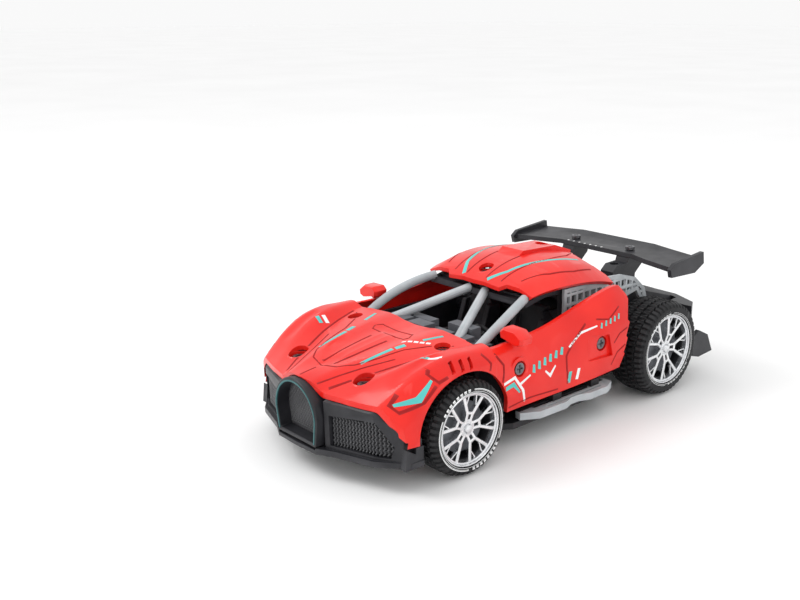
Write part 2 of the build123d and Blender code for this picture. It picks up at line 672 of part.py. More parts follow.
spring_wire_r = 0.35
spring_mean_r = 3.6
spring_rest = retainer_z - yoke_plate_z - yoke_plate_t
with BuildPart() as yoke_spring:
    coil_height = spring_rest - 2 * spring_wire_r - 0.1
    with BuildLine() as coil:
        Helix(pitch=coil_height / 4, height=coil_height, radius=spring_mean_r,
              center=(0, front_axle_y, yoke_plate_z + yoke_plate_t + spring_wire_r + 0.05))
    with BuildSketch(Plane(origin=coil.line @ 0, z_dir=coil.line % 0)):
        Circle(spring_wire_r)
    sweep(is_frenet=True)
save(yoke_spring.part, "yoke_spring")

with BuildPart() as yoke_retainer:
    with Locations((0, front_axle_y, retainer_z)):
        Box(30.0, 15.0, retainer_t, align=(Align.CENTER, Align.CENTER, Align.MIN))
        Box(7.0, 29.0, retainer_t, align=(Align.CENTER, Align.CENTER, Align.MIN))
    with Locations((0, front_axle_y, retainer_z)):
        Cylinder(2.6, spring_rest - press_travel - 0.1, align=(Align.CENTER, Align.CENTER, Align.MAX))
    for x, y in retainer_pillars:
        with Locations((x, y, retainer_z)):
            Cylinder(screw_clear, 10, mode=Mode.SUBTRACT)
save(yoke_retainer.part, "yoke_retainer")

with BuildPart() as nose_unit_screws:
    for x, y in retainer_pillars:
        add(screw(7.0).moved(Location((x, y, retainer_z + retainer_t))))
    for x, y in board_pillars:
        add(screw(6.0).moved(Location((x, y, board_z + board_t))))
save(nose_unit_screws.part, "nose_unit_screws")


# ---------------------------------------------------------------- wheels
def tyre(radius, rim_radius, tyre_width, outer_x, axle_y, lugs, crown_rows):
    """A left-hand tyre: rounded tread with grooves and shoulder lugs, outer wall at outer_x."""
    middle_x = outer_x - tyre_width / 2
    half = tyre_width / 2
    wall = min(1.0, (radius - rim_radius) / 3.3)     # thin sidewalls get a shallower bead and shoulder
    with BuildPart() as body:
        with BuildSketch(x_section_plane(axle_y, radius)):
            with BuildLine():
                Polyline(
                    (-half + 0.5, rim_radius), (-half, rim_radius + 0.7 * wall), (-half, radius - 2.4 * wall),
                    (-half + 0.6, radius - 1.1 * wall), (-half + 2.0, radius - 0.3 * wall), (-half * 0.3, radius),
                    (half * 0.3, radius), (half - 2.0, radius - 0.3 * wall), (half - 0.6, radius - 1.1 * wall),
                    (half, radius - 2.4 * wall), (half, rim_radius + 0.7 * wall), (half - 0.5, rim_radius),
                    close=True,
                )
            make_face()
            # circumferential grooves
            for row in range(crown_rows):
                position = (row - (crown_rows - 1) / 2) * tyre_width * 0.24
                with Locations((position, radius)):
                    Rectangle(0.7, 1.4 * wall, mode=Mode.SUBTRACT)
        revolve(axis=Axis((0, axle_y, radius), (1, 0, 0)), revolution_arc=360)
        # shoulder lugs
        for index in range(lugs):
            angle = index * 2 * pi / lugs
            for side in (1, -1):
                with Locations(Location((side * (half - 0.7), axle_y + (radius - 0.2) * cos(angle),
                                         radius + (radius - 0.2) * sin(angle)), (degrees(angle), 0, 0))):
                    Box(2.6, 1.6 * wall, 0.8, mode=Mode.SUBTRACT)
    return body.part.moved(Location((middle_x, 0, 0)))


def x_section_plane(axle_y, centre_z):
    """Half-section plane through a wheel axis: local x along the axle, local y radial upwards."""
    return Plane(origin=(0, axle_y, centre_z), x_dir=(1, 0, 0), z_dir=(0, -1, 0))


def spoke_outline(reach, spread):
    """One leg of a forked spoke: from the hub at the origin to the barrel, spread degrees off +X."""
    tip = radians(spread)
    side = 0.75
    with BuildSketch() as leg:
        with BuildLine():
            Polyline(
                (2.0, -side * 1.1), (2.0, side * 1.1),
                (reach * cos(tip) - side * sin(tip), reach * sin(tip) + side * cos(tip)),
                (reach * cos(tip) + side * sin(tip), reach * sin(tip) - side * cos(tip)), close=True,
            )
        make_face()
    return leg.sketch


def rim(rim_radius, rim_width, outer_x, axle_y, centre_z):
    """A left-hand rim: barrel, five forked spokes, hub with a cap; bored for the axle end."""
    barrel_t = 1.2
    face_x = outer_x - 1.2
    back_x = outer_x - rim_width
    with BuildPart() as body:
        with BuildSketch(x_cylinder_plane(back_x)):
            with Locations((axle_y, centre_z)):
                Circle(rim_radius - 0.01)
                Circle(rim_radius - barrel_t, mode=Mode.SUBTRACT)
        extrude(amount=rim_width - 0.6)
        # spokes: a stem from the hub that forks towards the barrel
        with BuildSketch(x_cylinder_plane(face_x - 2.2)):
            with Locations((axle_y, centre_z)):
                Circle(3.0)
                for index in range(5):
                    for spread in (-15, 15):
                        add(spoke_outline(rim_radius - barrel_t / 2, spread), rotation=90 + 72 * index)
        extrude(amount=2.2)
        # deep hub tube
        with BuildSketch(x_cylinder_plane(back_x + 0.6)):
            with Locations((axle_y, centre_z)):
                Circle(2.6)
        extrude(amount=face_x - back_x - 0.6)
        with BuildSketch(x_cylinder_plane(face_x)):
            with Locations((axle_y, centre_z)):
                Circle(2.0)
        extrude(amount=0.8, taper=12)
        with BuildSketch(x_cylinder_plane(back_x)):
            with Locations((axle_y, centre_z)):
                Circle(axle_r)
        extrude(amount=rim_width - 3.0, mode=Mode.SUBTRACT)
    return body.part


front_tyre = tyre(front_tyre_r, front_rim_r, front_tyre_width, front_outer_x, front_axle_y, 30, 2)
rear_tyre = tyre(rear_tyre_r, rear_rim_r, rear_tyre_width, rear_outer_x, rear_axle_y, 34, 3)
front_rim = rim(front_rim_r, front_tyre_width, front_outer_x, front_axle_y, front_tyre_r)
rear_rim = rim(rear_rim_r, rear_tyre_width, rear_outer_x, rear_axle_y, rear_tyre_r)
for part, name in ((front_tyre, "tyre_front"), (rear_tyre, "tyre_rear"),
                   (front_rim, "rim_front"), (rear_rim, "rim_rear")):
    save(part, f"{name}_left")
    save(mirror(part, about=Plane.YZ), f"{name}_right")


def axle(half_length, axle_y, axle_z):
    with BuildPart() as bar:
        with Locations((0, axle_y, axle_z)):
            Cylinder(axle_r, 2 * half_length, rotation=(0, 90, 0))
    chamfer(bar.edges().filter_by(GeomType.CIRCLE), 0.3)
    return bar.part


front_axle_half = front_outer_x - 3.2
rear_axle_half = rear_outer_x - 3.2
save(axle(front_axle_half, front_axle_y, front_tyre_r), "front_axle")
save(axle(rear_axle_half, rear_axle_y, rear_tyre_r), "rear_axle")

# ---------------------------------------------------------------- clockwork motor
transfer_distance = gear_module * (transfer_wheel_teeth + axle_gear_teeth) / 2
spring_distance = gear_module * (transfer_pinion_teeth + spring_teeth) / 2
transfer_y = rear_axle_y + transfer_distance * cos(radians(transfer_angle))
transfer_z = rear_tyre_r + transfer_distance * sin(radians(transfer_angle))
arbor_y = transfer_y + spring_distance * cos(radians(spring_angle))
arbor_z = transfer_z + spring_distance * sin(radians(spring_angle))
gear_layer_1 = (-7.0, 3.0)          # start x, width: spring gear and transfer pinion
gear_layer_2 = (-3.4, 3.0)          # transfer wheel and axle gear
motor_inner = motor_half - motor_wall


def gear(teeth, phase, y, z, start_x, thick, bore_r):
    """A spur gear across the car with one tooth centred at phase degrees from +Y towards +Z."""
    pitch_r = gear_module * teeth / 2
    root_r = pitch_r - dedendum * gear_module
    tip_r = pitch_r + addendum * gear_module
    step = 2 * pi / teeth
    root_half = step * 0.33
    tip_half = step * 0.12
    with BuildPart() as body:
        with BuildSketch(x_cylinder_plane(start_x)):
            with BuildLine():
                outline = []
                for index in range(teeth):
                    centre = radians(phase) + index * step
                    for radius, offset in ((root_r, -root_half), (tip_r, -tip_half), (tip_r, tip_half),
                                           (root_r, root_half)):
                        outline.append((y + radius * cos(centre + offset), z + radius * sin(centre + offset)))
                Polyline(*outline, close=True)
            make_face()
            if bore_r:
                with Locations((y, z)):
                    Circle(bore_r, mode=Mode.SUBTRACT)
        extrude(amount=thick)
    return body.part


with BuildPart() as axle_gear:
    add(gear(axle_gear_teeth, transfer_angle, rear_axle_y, rear_tyre_r, *gear_layer_2, axle_r))
    with BuildSketch(x_cylinder_plane(gear_layer_2[0] + gear_layer_2[1])):
        with Locations((rear_axle_y, rear_tyre_r)):
            Circle(2.2)
            Circle(axle_r, mode=Mode.SUBTRACT)
    extrude(amount=3.0)
save(axle_gear.part, "axle_gear")

with BuildPart() as transfer_gear:
    add(gear(transfer_wheel_teeth, transfer_angle + 180 + 180 / transfer_wheel_teeth, transfer_y, transfer_z,
             *gear_layer_2, 0))
    add(gear(transfer_pinion_teeth, spring_angle, transfer_y, transfer_z, *gear_layer_1, 0))
    with BuildSketch(x_cylinder_plane(gear_layer_1[0] + gear_layer_1[1])):
        with Locations((transfer_y, transfer_z)):
            Circle(1.6)
    extrude(amount=gear_layer_2[0] - gear_layer_1[0] - gear_layer_1[1])
    with Locations((0, transfer_y, transfer_z)):
        Cylinder(transfer_shaft_r, 2 * (motor_half - 0.2), rotation=(0, 90, 0))
save(transfer_gear.part, "transfer_gear")

with BuildPart() as spring_gear:
    add(gear(spring_teeth, spring_angle + 180 + 180 / spring_teeth, arbor_y, arbor_z, *gear_layer_1, 0))
    with Locations((0, arbor_y, arbor_z)):
        Cylinder(arbor_r, 2 * (motor_half - 0.2), rotation=(0, 90, 0))
save(spring_gear.part, "spring_gear")

spring_inner_r = arbor_r + 0.5
spring_outer_r = 8.4
spring_pitch = (spring_outer_r - spring_inner_r) / spring_turns
# half rings, each one step larger than the last, make an evenly growing strip
with BuildPart() as mainspring:
    with BuildSketch(x_cylinder_plane(0.8)):
        for index in range(2 * spring_turns):
            radius = spring_inner_r + index * spring_pitch / 2
            upper = index % 2 == 0
            shift = 0.0 if upper else spring_pitch / 2
            with BuildSketch(mode=Mode.PRIVATE) as half_ring:
                Circle(radius + spring_strip_t / 2)
                Circle(radius - spring_strip_t / 2, mode=Mode.SUBTRACT)
                with Locations((0, -50 if upper else 50)):
                    Rectangle(200, 100, mode=Mode.SUBTRACT)
            with Locations((arbor_y + shift, arbor_z)):
                add(half_ring.sketch)
    extrude(amount=spring_strip_w)
save(mainspring.part, "mainspring")

with BuildPart() as motor_case:
    with Locations((-0.6, (motor_y0 + motor_y1) / 2, motor_z0)):
        Box(2 * motor_half - 1.2, motor_y1 - motor_y0, motor_z1 - motor_z0,
            align=(Align.CENTER, Align.CENTER, Align.MIN))
    with Locations((0, (motor_y0 + motor_y1) / 2, motor_z0 + motor_wall)):
        Box(2 * motor_inner, motor_y1 - motor_y0 - 2 * motor_wall, motor_z1 - motor_z0 - 2 * motor_wall,
            align=(Align.CENTER, Align.CENTER, Align.MIN), mode=Mode.SUBTRACT)
    with Locations((motor_half, (motor_y0 + motor_y1) / 2, motor_z0 + motor_wall)):
        Box(4, motor_y1 - motor_y0 - 2 * motor_wall, motor_z1 - motor_z0 - 2 * motor_wall,
            align=(Align.CENTER, Align.CENTER, Align.MIN), mode=Mode.SUBTRACT)
    for y in motor_foot_y:
        with Locations((0, y, motor_z0)):
            Box(8.0, 4.6, 2.6, align=(Align.CENTER, Align.CENTER, Align.MIN))
        with Locations((0, y, motor_z0)):
            Cylinder(screw_clear, 20, mode=Mode.SUBTRACT)
    for y, z, radius in ((rear_axle_y, rear_tyre_r, axle_r), (transfer_y, transfer_z, transfer_shaft_r),
                         (arbor_y, arbor_z, arbor_r)):
        with Locations((-motor_half, y, z)):
            Cylinder(radius + run_gap, 6, rotation=(0, 90, 0), mode=Mode.SUBTRACT)
save(motor_case.part, "motor_case")

cover_screw_yz = [(19.0, 27.8), (51.6, 27.8)]
with BuildPart() as motor_cover:
    with BuildSketch(x_cylinder_plane(motor_half - 1.2)):
        with Locations(((motor_y0 + motor_y1) / 2, (motor_z0 + motor_z1) / 2)):
            Rectangle(motor_y1 - motor_y0, motor_z1 - motor_z0)
        for y, z, radius in ((rear_axle_y, rear_tyre_r, axle_r), (transfer_y, transfer_z, transfer_shaft_r),
                             (arbor_y, arbor_z, arbor_r)):
            with Locations((y, z)):
                Circle(radius + run_gap, mode=Mode.SUBTRACT)
    extrude(amount=1.2)
save(motor_cover.part, "motor_cover")

# ---------------------------------------------------------------- cabin: tub, dashboard, wheel and seats
tub_wall = 1.2
tub_rim_z = 30.0
tub_rear_y = 14.4
door_boss_r = 3.0
tub_outline = [(25.0, -31.2), (25.0, -28.6), (32.2, -24.0), (32.2, tub_rear_y)]
tub_ring = tub_outline + [(-x, y) for x, y in reversed(tub_outline)]

with BuildPart() as interior_tub:
    with BuildSketch(Plane.XY.offset(tub_floor_z)) as tub_plan:
        with BuildLine():
            Polyline(*tub_ring, close=True)
        make_face()
    extrude(amount=tub_rim_z - tub_floor_z)
    with BuildSketch(Plane.XY.offset(tub_top)):
        add(offset(tub_plan.sketch, amount=-tub_wall, kind=Kind.INTERSECTION, mode=Mode.PRIVATE)
            .moved(Location((0, 0, tub_floor_t))))
    extrude(amount=40, mode=Mode.SUBTRACT)
    # open front end above the pedals, centre tunnel
    with Locations((0, -6.0, tub_top)):
        Box(5.0, 36.0, 3.0, align=(Align.CENTER, Align.CENTER, Align.MIN))
    for side in (1, -1):
        for y, z in door_screws:
            with Locations((side * (door_screw_floor_x - 0.1), y, z)):
                Cylinder(door_boss_r, 6.0, rotation=(0, -90 * side, 0),
                         align=(Align.CENTER, Align.CENTER, Align.MIN))
    # the front bosses stand clear of the wheel arch
    for side in (1, -1):
        for y, z in door_screws:
            with Locations((side * (door_screw_floor_x - 0.1), y, z)):
                Cylinder(screw_clear, 5.4, rotation=(0, -90 * side, 0),
                         align=(Align.CENTER, Align.CENTER, Align.MIN), mode=Mode.SUBTRACT)
    for x, y in tub_screw_xy:
        with Locations((x, y, tub_floor_z)):
            Cylinder(screw_clear, 10, mode=Mode.SUBTRACT)
save(interior_tub.part, "interior_tub")

with BuildPart() as dashboard:
    with Locations((0, -25.8, 24.0)):
        Box(46.0, 7.8, 7.0, align=(Align.CENTER, Align.CENTER, Align.MIN))
    with BuildSketch(Plane.YZ):
        with BuildLine():
            Polyline((-32.2, 30.2), (-32.2, 32.4), (-24.0, 31.6), (-19.0, 29.0), (-17.4, 25.0), (-21.9, 24.0),
                     (-29.7, 24.0), (-29.7, 30.2), close=True)
        make_face()
    extrude(amount=22.0, both=True)
    # raised boxes and the instrument hood
    for x, y, dx, dy, dz in ((-14.0, -28.6, 9.0, 5.0, 2.0), (-3.0, -28.6, 8.0, 5.0, 2.2), (8.0, -29.0, 7.0, 4.2, 1.8),
                             (16.6, -28.6, 6.0, 5.0, 2.0), (-9.0, -22.8, 12.0, 3.6, 1.6), (11.0, -22.6, 11.0, 4.0, 3.2)):
        with Locations((x, y, 30.2)):
            Box(dx, dy, dz + 1.4, align=(Align.CENTER, Align.CENTER, Align.MIN))
    # legs to the cabin floor
    for x in (20.0, -20.0):
        with Locations((x, -24.6, tub_top)):
            Box(3.0, 5.0, 24.0 - tub_top, align=(Align.CENTER, Align.CENTER, Align.MIN))
    # steering column
    with Locations(Location((11.0, -16.6, 27.0), (-60, 0, 0))):
        Cylinder(1.0, 6.4)
save(dashboard.part, "dashboard")

wheel_location = Location((11.0, -13.57, 28.75), (-60, 0, 0))
with BuildPart() as steering_wheel:
    with BuildSketch(Plane.XZ):
        with Locations((4.4, 0)):
            Circle(0.8)
    revolve(axis=Axis.Z)
    Cylinder(1.6, 1.4)
    for angle in (0, 90, 180):
        with Locations(Location((0, 0, 0), (0, 0, angle))):
            with Locations((2.4, 0, 0)):
                Box(4.2, 1.2, 0.8)
    with Locations((0, 0, -0.1)):
        Cylinder(1.02, 3.0, mode=Mode.SUBTRACT, align=(Align.CENTER, Align.CENTER, Align.MAX))
save(steering_wheel.part.moved(wheel_location), "steering_wheel")


def seat(x):
    """A bucket seat: cushion with side bolsters and a shouldered back with a headrest opening."""
    with BuildPart() as body:
        with BuildSketch(Plane.YZ.offset(-7.0)):
            with BuildLine():
                Polyline((-9.0, 0.0), (-9.0, 5.0), (-7.6, 6.2), (3.0, 4.6), (7.6, 20.6), (9.6, 21.0), (10.6, 19.6),
                         (7.2, 3.0), (6.0, 0.0), close=True)
            make_face()
        extrude(amount=14.0)
        for side in (1, -1):
            with BuildSketch(Plane.YZ.offset(side * 6.0 - 1.0)):
                with BuildLine():
                    Polyline((-8.4, 4.0), (-8.0, 8.4), (1.0, 7.6), (4.6, 17.0), (8.0, 17.6), (6.0, 4.0), close=True)
                make_face()
            extrude(amount=2.0)
        # headrest narrows at the top
        for side in (1, -1):
            with Locations(Location((side * 8.2, 9.0, 21.4), (0, side * 35, 0))):
                Box(4.0, 12.0, 9.0, mode=Mode.SUBTRACT)
    return body.part.moved(Location((x, 0, tub_top)))


seat_x = 12.6
save(seat(seat_x), "seat_left")
save(seat(-seat_x), "seat_right")

# ---------------------------------------------------------------- roof frame and light tube cage
frame_leg_x = 21.9
header_y = -5.6
header_z = 40.4
with BuildPart() as roof_frame:
    with Locations((0, header_y, header_z)):
        Box(44.0, 3.0, 2.0)
    for side in (1, -1):
        with BuildSketch(Plane.YZ.offset(side * frame_leg_x - 0.9)):
            with BuildLine():
                Polyline((-7.1, 39.4), (-7.1, 41.0), (4.0, 43.4), (26.0, 42.6), (29.0, 41.0), (29.0, 39.4),
                         (14.0, 40.4), (13.0, 31.0), (13.0, tub_top), (9.8, tub_top), (9.8, 41.0), (2.0, 41.2),
                         close=True)
            make_face()
        extrude(amount=1.8)
    for y, z in ((roof_screws[0][1], 40.2), (roof_screws[1][1], 40.6)):
        with Locations((0, y, z)):
            Box(44.0, 3.4, 1.8, align=(Align.CENTER, Align.CENTER, Align.MIN))
        seat_z = height_at(roof_stations, 0, y) - recess_depth - 1.0
        with Locations((0, y, z)):
            Cylinder(2.6, seat_z - z - 0.05, align=(Align.CENTER, Align.CENTER, Align.MIN))
            Cylinder(screw_clear, 30, mode=Mode.SUBTRACT)
save(roof_frame.part, "roof_frame")

cage_foot_z = 30.0
with BuildPart() as roll_cage:
    for side in (1, -1):
        add(tube([(side * 26.4, -31.6, 32.6), (side * 25.0, -18.0, 39.0), (side * 21.4, -6.2, 42.0)], cage_tube_r))
        add(tube([(side * 17.6, -33.0, 31.6), (side * 3.4, -6.2, 41.2)], cage_tube_r))
    # foot bar under the rear edge of the hood
    with Locations((0, -33.4, 31.4)):
        Box(54.0, 2.0, 1.8)
    with Locations((25.9, -32.6, 31.6), (-25.9, -32.6, 31.6)):
        Box(3.0, 3.4, 2.2)
    # room for the header bar and the dashboard, tube ends trimmed under the roof
    with Locations((0, header_y - 0.1, header_z)):
        Box(60.0, 10.0, 20, align=(Align.CENTER, Align.MIN, Align.CENTER), mode=Mode.SUBTRACT)
    for other in (roof_frame.part, roof_panel.part, dashboard.part):
        add(other, mode=Mode.SUBTRACT)
save(roll_cage.part, "roll_cage")

# ---------------------------------------------------------------- rear deck over the motor, side lattices
deck_wall = 1.4
deck_profile = {
    16.0: ((0, 38.0), (12, 37.7), (20.4, 35.6), (21.6, 26.0)),
    30.0: ((0, 38.9), (12, 38.6), (20.2, 36.6), (21.6, 24.6)),
    46.0: ((0, 37.5), (12, 37.2), (20.0, 35.4), (21.6, 24.0)),
    60.0: ((0, 33.7), (12, 33.4), (20.0, 31.4), (21.6, 23.6)),
    74.0: ((0, 28.7), (12, 28.4), (20.0, 27.0), (21.6, 23.2)),
}


def deck_loft(wall, extra):
    with BuildPart() as body:
        rings = []
        for index, (y, points) in enumerate(deck_profile.items()):
            end = -extra if index == 0 else (0 if index < len(deck_profile) - 1 else -wall)
            outline = [(x, z - wall) for x, z in points[:2]]
            outline += [(x - wall, z - 0.6 * wall) for x, z in points[2:3]]
            outline += [(points[3][0] - wall, points[3][1] - extra)]
            rings.append(section(y + end, both_sides(outline)))
        loft(rings, ruled=True)
    return body.part


with BuildPart() as rear_deck:
    add(deck_loft(0.0, 0.0))
    add(deck_loft(deck_wall, 4.0), mode=Mode.SUBTRACT)
    # cooling louvres
    for step in range(4):
        with Locations((0, 20.0 + 4.0 * step, 42.0)):
            Box(14.0, 1.6, 8.0, mode=Mode.SUBTRACT)
    with Locations((0, rear_post_y, 24.2)):
        Cylinder(pillar_r, 6.0, align=(Align.CENTER, Align.CENTER, Align.MIN))
        Cylinder(screw_clear, 40, mode=Mode.SUBTRACT)
    with Locations((0, rear_post_y, 28.6)):
        Cylinder(recess_r, 10, align=(Align.CENTER, Align.CENTER, Align.MIN), mode=Mode.SUBTRACT)
save(rear_deck.part, "rear_deck")

lattice_t = 1.0
lattice_pitch = 3.4
lattice_hole = 2.5


def side_lattice():
    """The left lattice: a frame plate with square holes beside the rear window and the deck."""
    outer = [(9.0, 31.0), (9.0, 42.8), (20.0, 42.4), (31.9, 40.6), (33.0, 42.6), (40.0, 42.0), (48.0, 39.6),
             (54.0, 34.6), (56.4, 28.0), (53.4, 28.0), (49.0, 34.6), (40.0, 33.0), (27.0, 31.0)]
    with BuildPart() as plate:
        with BuildSketch(Plane.YZ):
            with BuildLine():
                Polyline(*outer, close=True)
            make_face()
            offset_in = offset(amount=-1.4, kind=Kind.INTERSECTION, mode=Mode.PRIVATE)
            with BuildSketch(mode=Mode.PRIVATE) as holes:
                with GridLocations(lattice_pitch, lattice_pitch, 15, 6):
                    Rectangle(lattice_hole, lattice_hole)
            with Locations((31.0, 37.0)):
                add(holes.sketch & offset_in.moved(Location((-31.0, -37.0))), mode=Mode.SUBTRACT)
        extrude(amount=lattice_t)
    return plate.part


lattice_turn = 2.2              # the plates close in towards the tail
lattice_place = Location((23.8, 9.0, 0), (0, 0, lattice_turn))
left_lattice = side_lattice().moved(Location((0, -9.0, 0))).moved(lattice_place)
save(left_lattice, "side_lattice_left")
save(mirror(left_lattice, about=Plane.YZ), "side_lattice_right")

# ---------------------------------------------------------------- rear wing on two stanchions
stanchion_x = 13.0
stanchion_half = 2.8
stanchion_profile = [(44.6, 37.0), (44.6, 40.4), (47.0, 42.4), (52.6, 42.6), (53.2, 44.2), (61.6, 44.2),
                     (61.0, 41.0), (57.4, 38.0), (57.0, 33.0), (50.0, 35.0)]


def stanchion(side):
    """One wing post: a leaning plate with a bored foot that stands on the deck."""
    with BuildPart() as post:
        with BuildSketch(Plane.YZ.offset(side * stanchion_x - stanchion_half)):
            with BuildLine():
                Polyline(*stanchion_profile, close=True)
            make_face()
        extrude(amount=2 * stanchion_half)
        add(deck_loft(0.0, 0.0), mode=Mode.SUBTRACT)
        with Locations((side * stanchion_x, 48.6, 41.0)):
            Cylinder(1.6, 10, mode=Mode.SUBTRACT, align=(Align.CENTER, Align.CENTER, Align.MIN))
        with Locations((side * stanchion_x, 57.4, 41.0)):
            Cylinder(screw_clear, 20, mode=Mode.SUBTRACT)
    return post.part


save(stanchion(1), "wing_stanchion_left")
save(stanchion(-1), "wing_stanchion_right")

wing_base_z = 44.3
wing_t = 1.6
wing_ribs = [(wing_half - 1.4, 49.0, 65.6, 43.6, 1.0), (25.0, 50.4, 66.0, 44.2, 1.2),
             (17.0, 53.0, 66.6, wing_base_z, 1.6)]       # x, leading edge, trailing edge, underside, rise


def wing_rib(x, front, rear, z, rise):
    """Aerofoil section of the wing at x."""
    with BuildSketch(Plane.YZ.offset(x)) as ring:
        with BuildLine():
            Polyline((front, z), (front + 0.4, z + wing_t), (rear - 4, z + wing_t + 0.5),
                     (rear, z + wing_t + rise), (rear, z + rise + 0.5), (rear - 5, z), close=True)
        make_face()
    return ring.sketch


with BuildPart() as wing_blade:
    ribs = [wing_rib(-rib[0], *rib[1:]) for rib in wing_ribs] + [wing_rib(*rib) for rib in wing_ribs[::-1]]
    for first, second in zip(ribs, ribs[1:]):
        loft([first, second], ruled=True)
    # end plates
    for side in (1, -1):
        with BuildSketch(Plane.YZ.offset(side * (wing_half - 0.8) - 0.8)):
            with BuildLine():
                Polyline((48.4, 42.0), (47.6, 44.8), (50.0, 46.6), (66.6, 48.2), (67.2, 44.0), (62.0, 41.4),
                         close=True)
            make_face()
        extrude(amount=1.6)
        with Locations((side * stanchion_x, 57.4, wing_base_z)):
            Cylinder(screw_clear, 20, mode=Mode.SUBTRACT)
save(wing_blade.part, "wing_blade")

# ---------------------------------------------------------------- front bumper and grilles
front_lip_z = 7.8           # underside of the splitter
splitter_t = 1.8
wall_line = [(11.2, -77.2), (27.4, -72.0), (34.9, -67.4)]
wall_depth = 3.0
red_gap = 0.3


def below_paint(shrink):
    """Everything in front view that lies under the painted nose, drawn in by shrink."""
    with BuildPart() as body:
        with BuildSketch(Plane.XZ.offset(95)):
            with BuildLine():
                half = [(0, red_edge_z - 1.2 - shrink), (26.4, red_edge_z - shrink),
                        (36.2 - shrink, tip_z - shrink), (36.2 - shrink, 14.2 - shrink), (60, 14.2 - shrink), (60, 0)]
                Polyline(*both_sides(half), close=True)
            make_face()
        extrude(amount=-50)
    return body.part


def clear_of_paint(body):
    """The part of a body that is either below the painted nose or inside its cavity."""
    with BuildPart() as low:
        add(body)
        add(below_paint(red_gap), mode=Mode.INTERSECT)
    with BuildPart() as high:
        add(body)
        add(hood_cavity, mode=Mode.INTERSECT)
    with BuildPart() as joined:
        add(low.part)
        add(high.part)
    return joined.part


intake_outline = [(12.8, 10.8), (31.6, 10.4), (32.6, 14.0), (27.8, 20.9), (12.8, 20.0)]


def intake_cutter(side, grow):
    """Prism through one air intake, seen from the front."""
    with BuildPart() as prism:
        with BuildSketch(Plane.XZ.offset(90)):
            with BuildLine():
                Polyline(*[(side * x, z) for x, z in intake_outline], close=True)
            make_face()
            if grow:
                offset(amount=grow, kind=Kind.INTERSECTION)
        extrude(amount=-30)
    return prism.part


def wall_band(side, start, depth, low, high):
    """An upright band that follows the nose in plan, start behind its front face and depth thick."""
    front = [(side * x, y + start) for x, y in wall_line]
    back = [(x, y + depth + (1.2 if index else 0.4)) for index, (x, y) in enumerate(front)]
    with BuildPart() as band:
        with BuildSketch(Plane.XY.offset(low)):
            with BuildLine():
                Polyline(*(front + back[::-1]), close=True)
            make_face()
        extrude(amount=high - low)
    return band.part


with BuildPart() as bumper_raw:
    for side in (1, -1):
        add(wall_band(side, 0, wall_depth, front_lip_z, 26.4))
        # corner fin ahead of the wheel
        with BuildSketch(Plane.YZ.offset(side * 35.6 - 1.1)):
            with BuildLine():
                Polyline((-68.4, front_lip_z), (-61.8, front_lip_z), (-61.6, 20.4), (-63.4, 21.6), (-64.6, 12.0),
                         (-67.6, 14.0), close=True)
            make_face()
        extrude(amount=2.2)
    # splitter
    half_lip = [(0, -length / 2), (9.6, -length / 2 + 0.4), (15.0, -77.0), (28.0, -73.0), (36.8, -66.2),
                (37.0, -61.8), (30.0, -61.8), (26.2, -67.0), (12.4, -74.4), (0, -74.6)]
    with BuildSketch(Plane.XY.offset(front_lip_z)):
        with BuildLine():
            Polyline(*(half_lip + [(-x, y) for x, y in reversed(half_lip) if x > 0]), close=True)
        make_face()
    extrude(amount=splitter_t)

with BuildPart() as front_bumper:
    add(clear_of_paint(bumper_raw.part))
    for side in (1, -1):
        add(intake_cutter(side, 0), mode=Mode.SUBTRACT)
    # mouth
    with BuildSketch(Plane.XZ.offset(90)):
        add(arch_outline(arch_wall + 0.05))
        with Locations((0, 0)):
            Rectangle(60, 2 * (floor_top + 1.0), mode=Mode.SUBTRACT)
    extrude(amount=-40, mode=Mode.SUBTRACT)
    # ledge over the chassis nose, with two screw bosses
    with Locations((0, -72.2, floor_top)):
        Box(24.0, 6.0, 1.6, align=(Align.CENTER, Align.CENTER, Align.MIN))
    for x in (bumper_post_x / 2, -bumper_post_x / 2):
        with Locations((x, -70.0, floor_top)):
            Cylinder(2.6, 4.0, align=(Align.CENTER, Align.CENTER, Align.MIN))
        with Locations((x, -70.0, floor_top - 1)):
            Cylinder(screw_clear, 20, mode=Mode.SUBTRACT)
    add(chassis.part, mode=Mode.SUBTRACT)
    add(shell_bosses.part, mode=Mode.SUBTRACT)
save(front_bumper.part, "front_bumper")

mouth_base_z = floor_top + 1.7
with BuildPart() as grille_surround:
    with BuildSketch(Plane.XZ.offset(length / 2 - 0.4)):
        add(arch_outline(arch_wall))
        add(arch_outline(0), mode=Mode.SUBTRACT)
        Rectangle(60, 2 * mouth_base_z, mode=Mode.SUBTRACT)
    extrude(amount=-7.0)
    with Locations((0, -length / 2 + 0.4, mouth_base_z)):
        Box(17.6, 7.0, 1.2, align=(Align.CENTER, Align.MIN, Align.MIN))
save(grille_surround.part, "grille_surround")

mesh_pitch = 2.0
mesh_hole = 1.15
with BuildPart() as grille_centre:
    with BuildSketch(Plane.XZ.offset(length / 2 - 4.4)) as mouth_sketch:
        add(arch_outline(-0.05))
        Rectangle(60, 2 * mouth_base_z + 2.5, mode=Mode.SUBTRACT)
        with GridLocations(mesh_pitch, mesh_pitch, 7, 7):
            with Locations((0, 18.0)):
                Rectangle(mesh_hole, mesh_hole, rotation=45, mode=Mode.SUBTRACT)
    extrude(amount=-1.0)
save(grille_centre.part, "grille_centre")


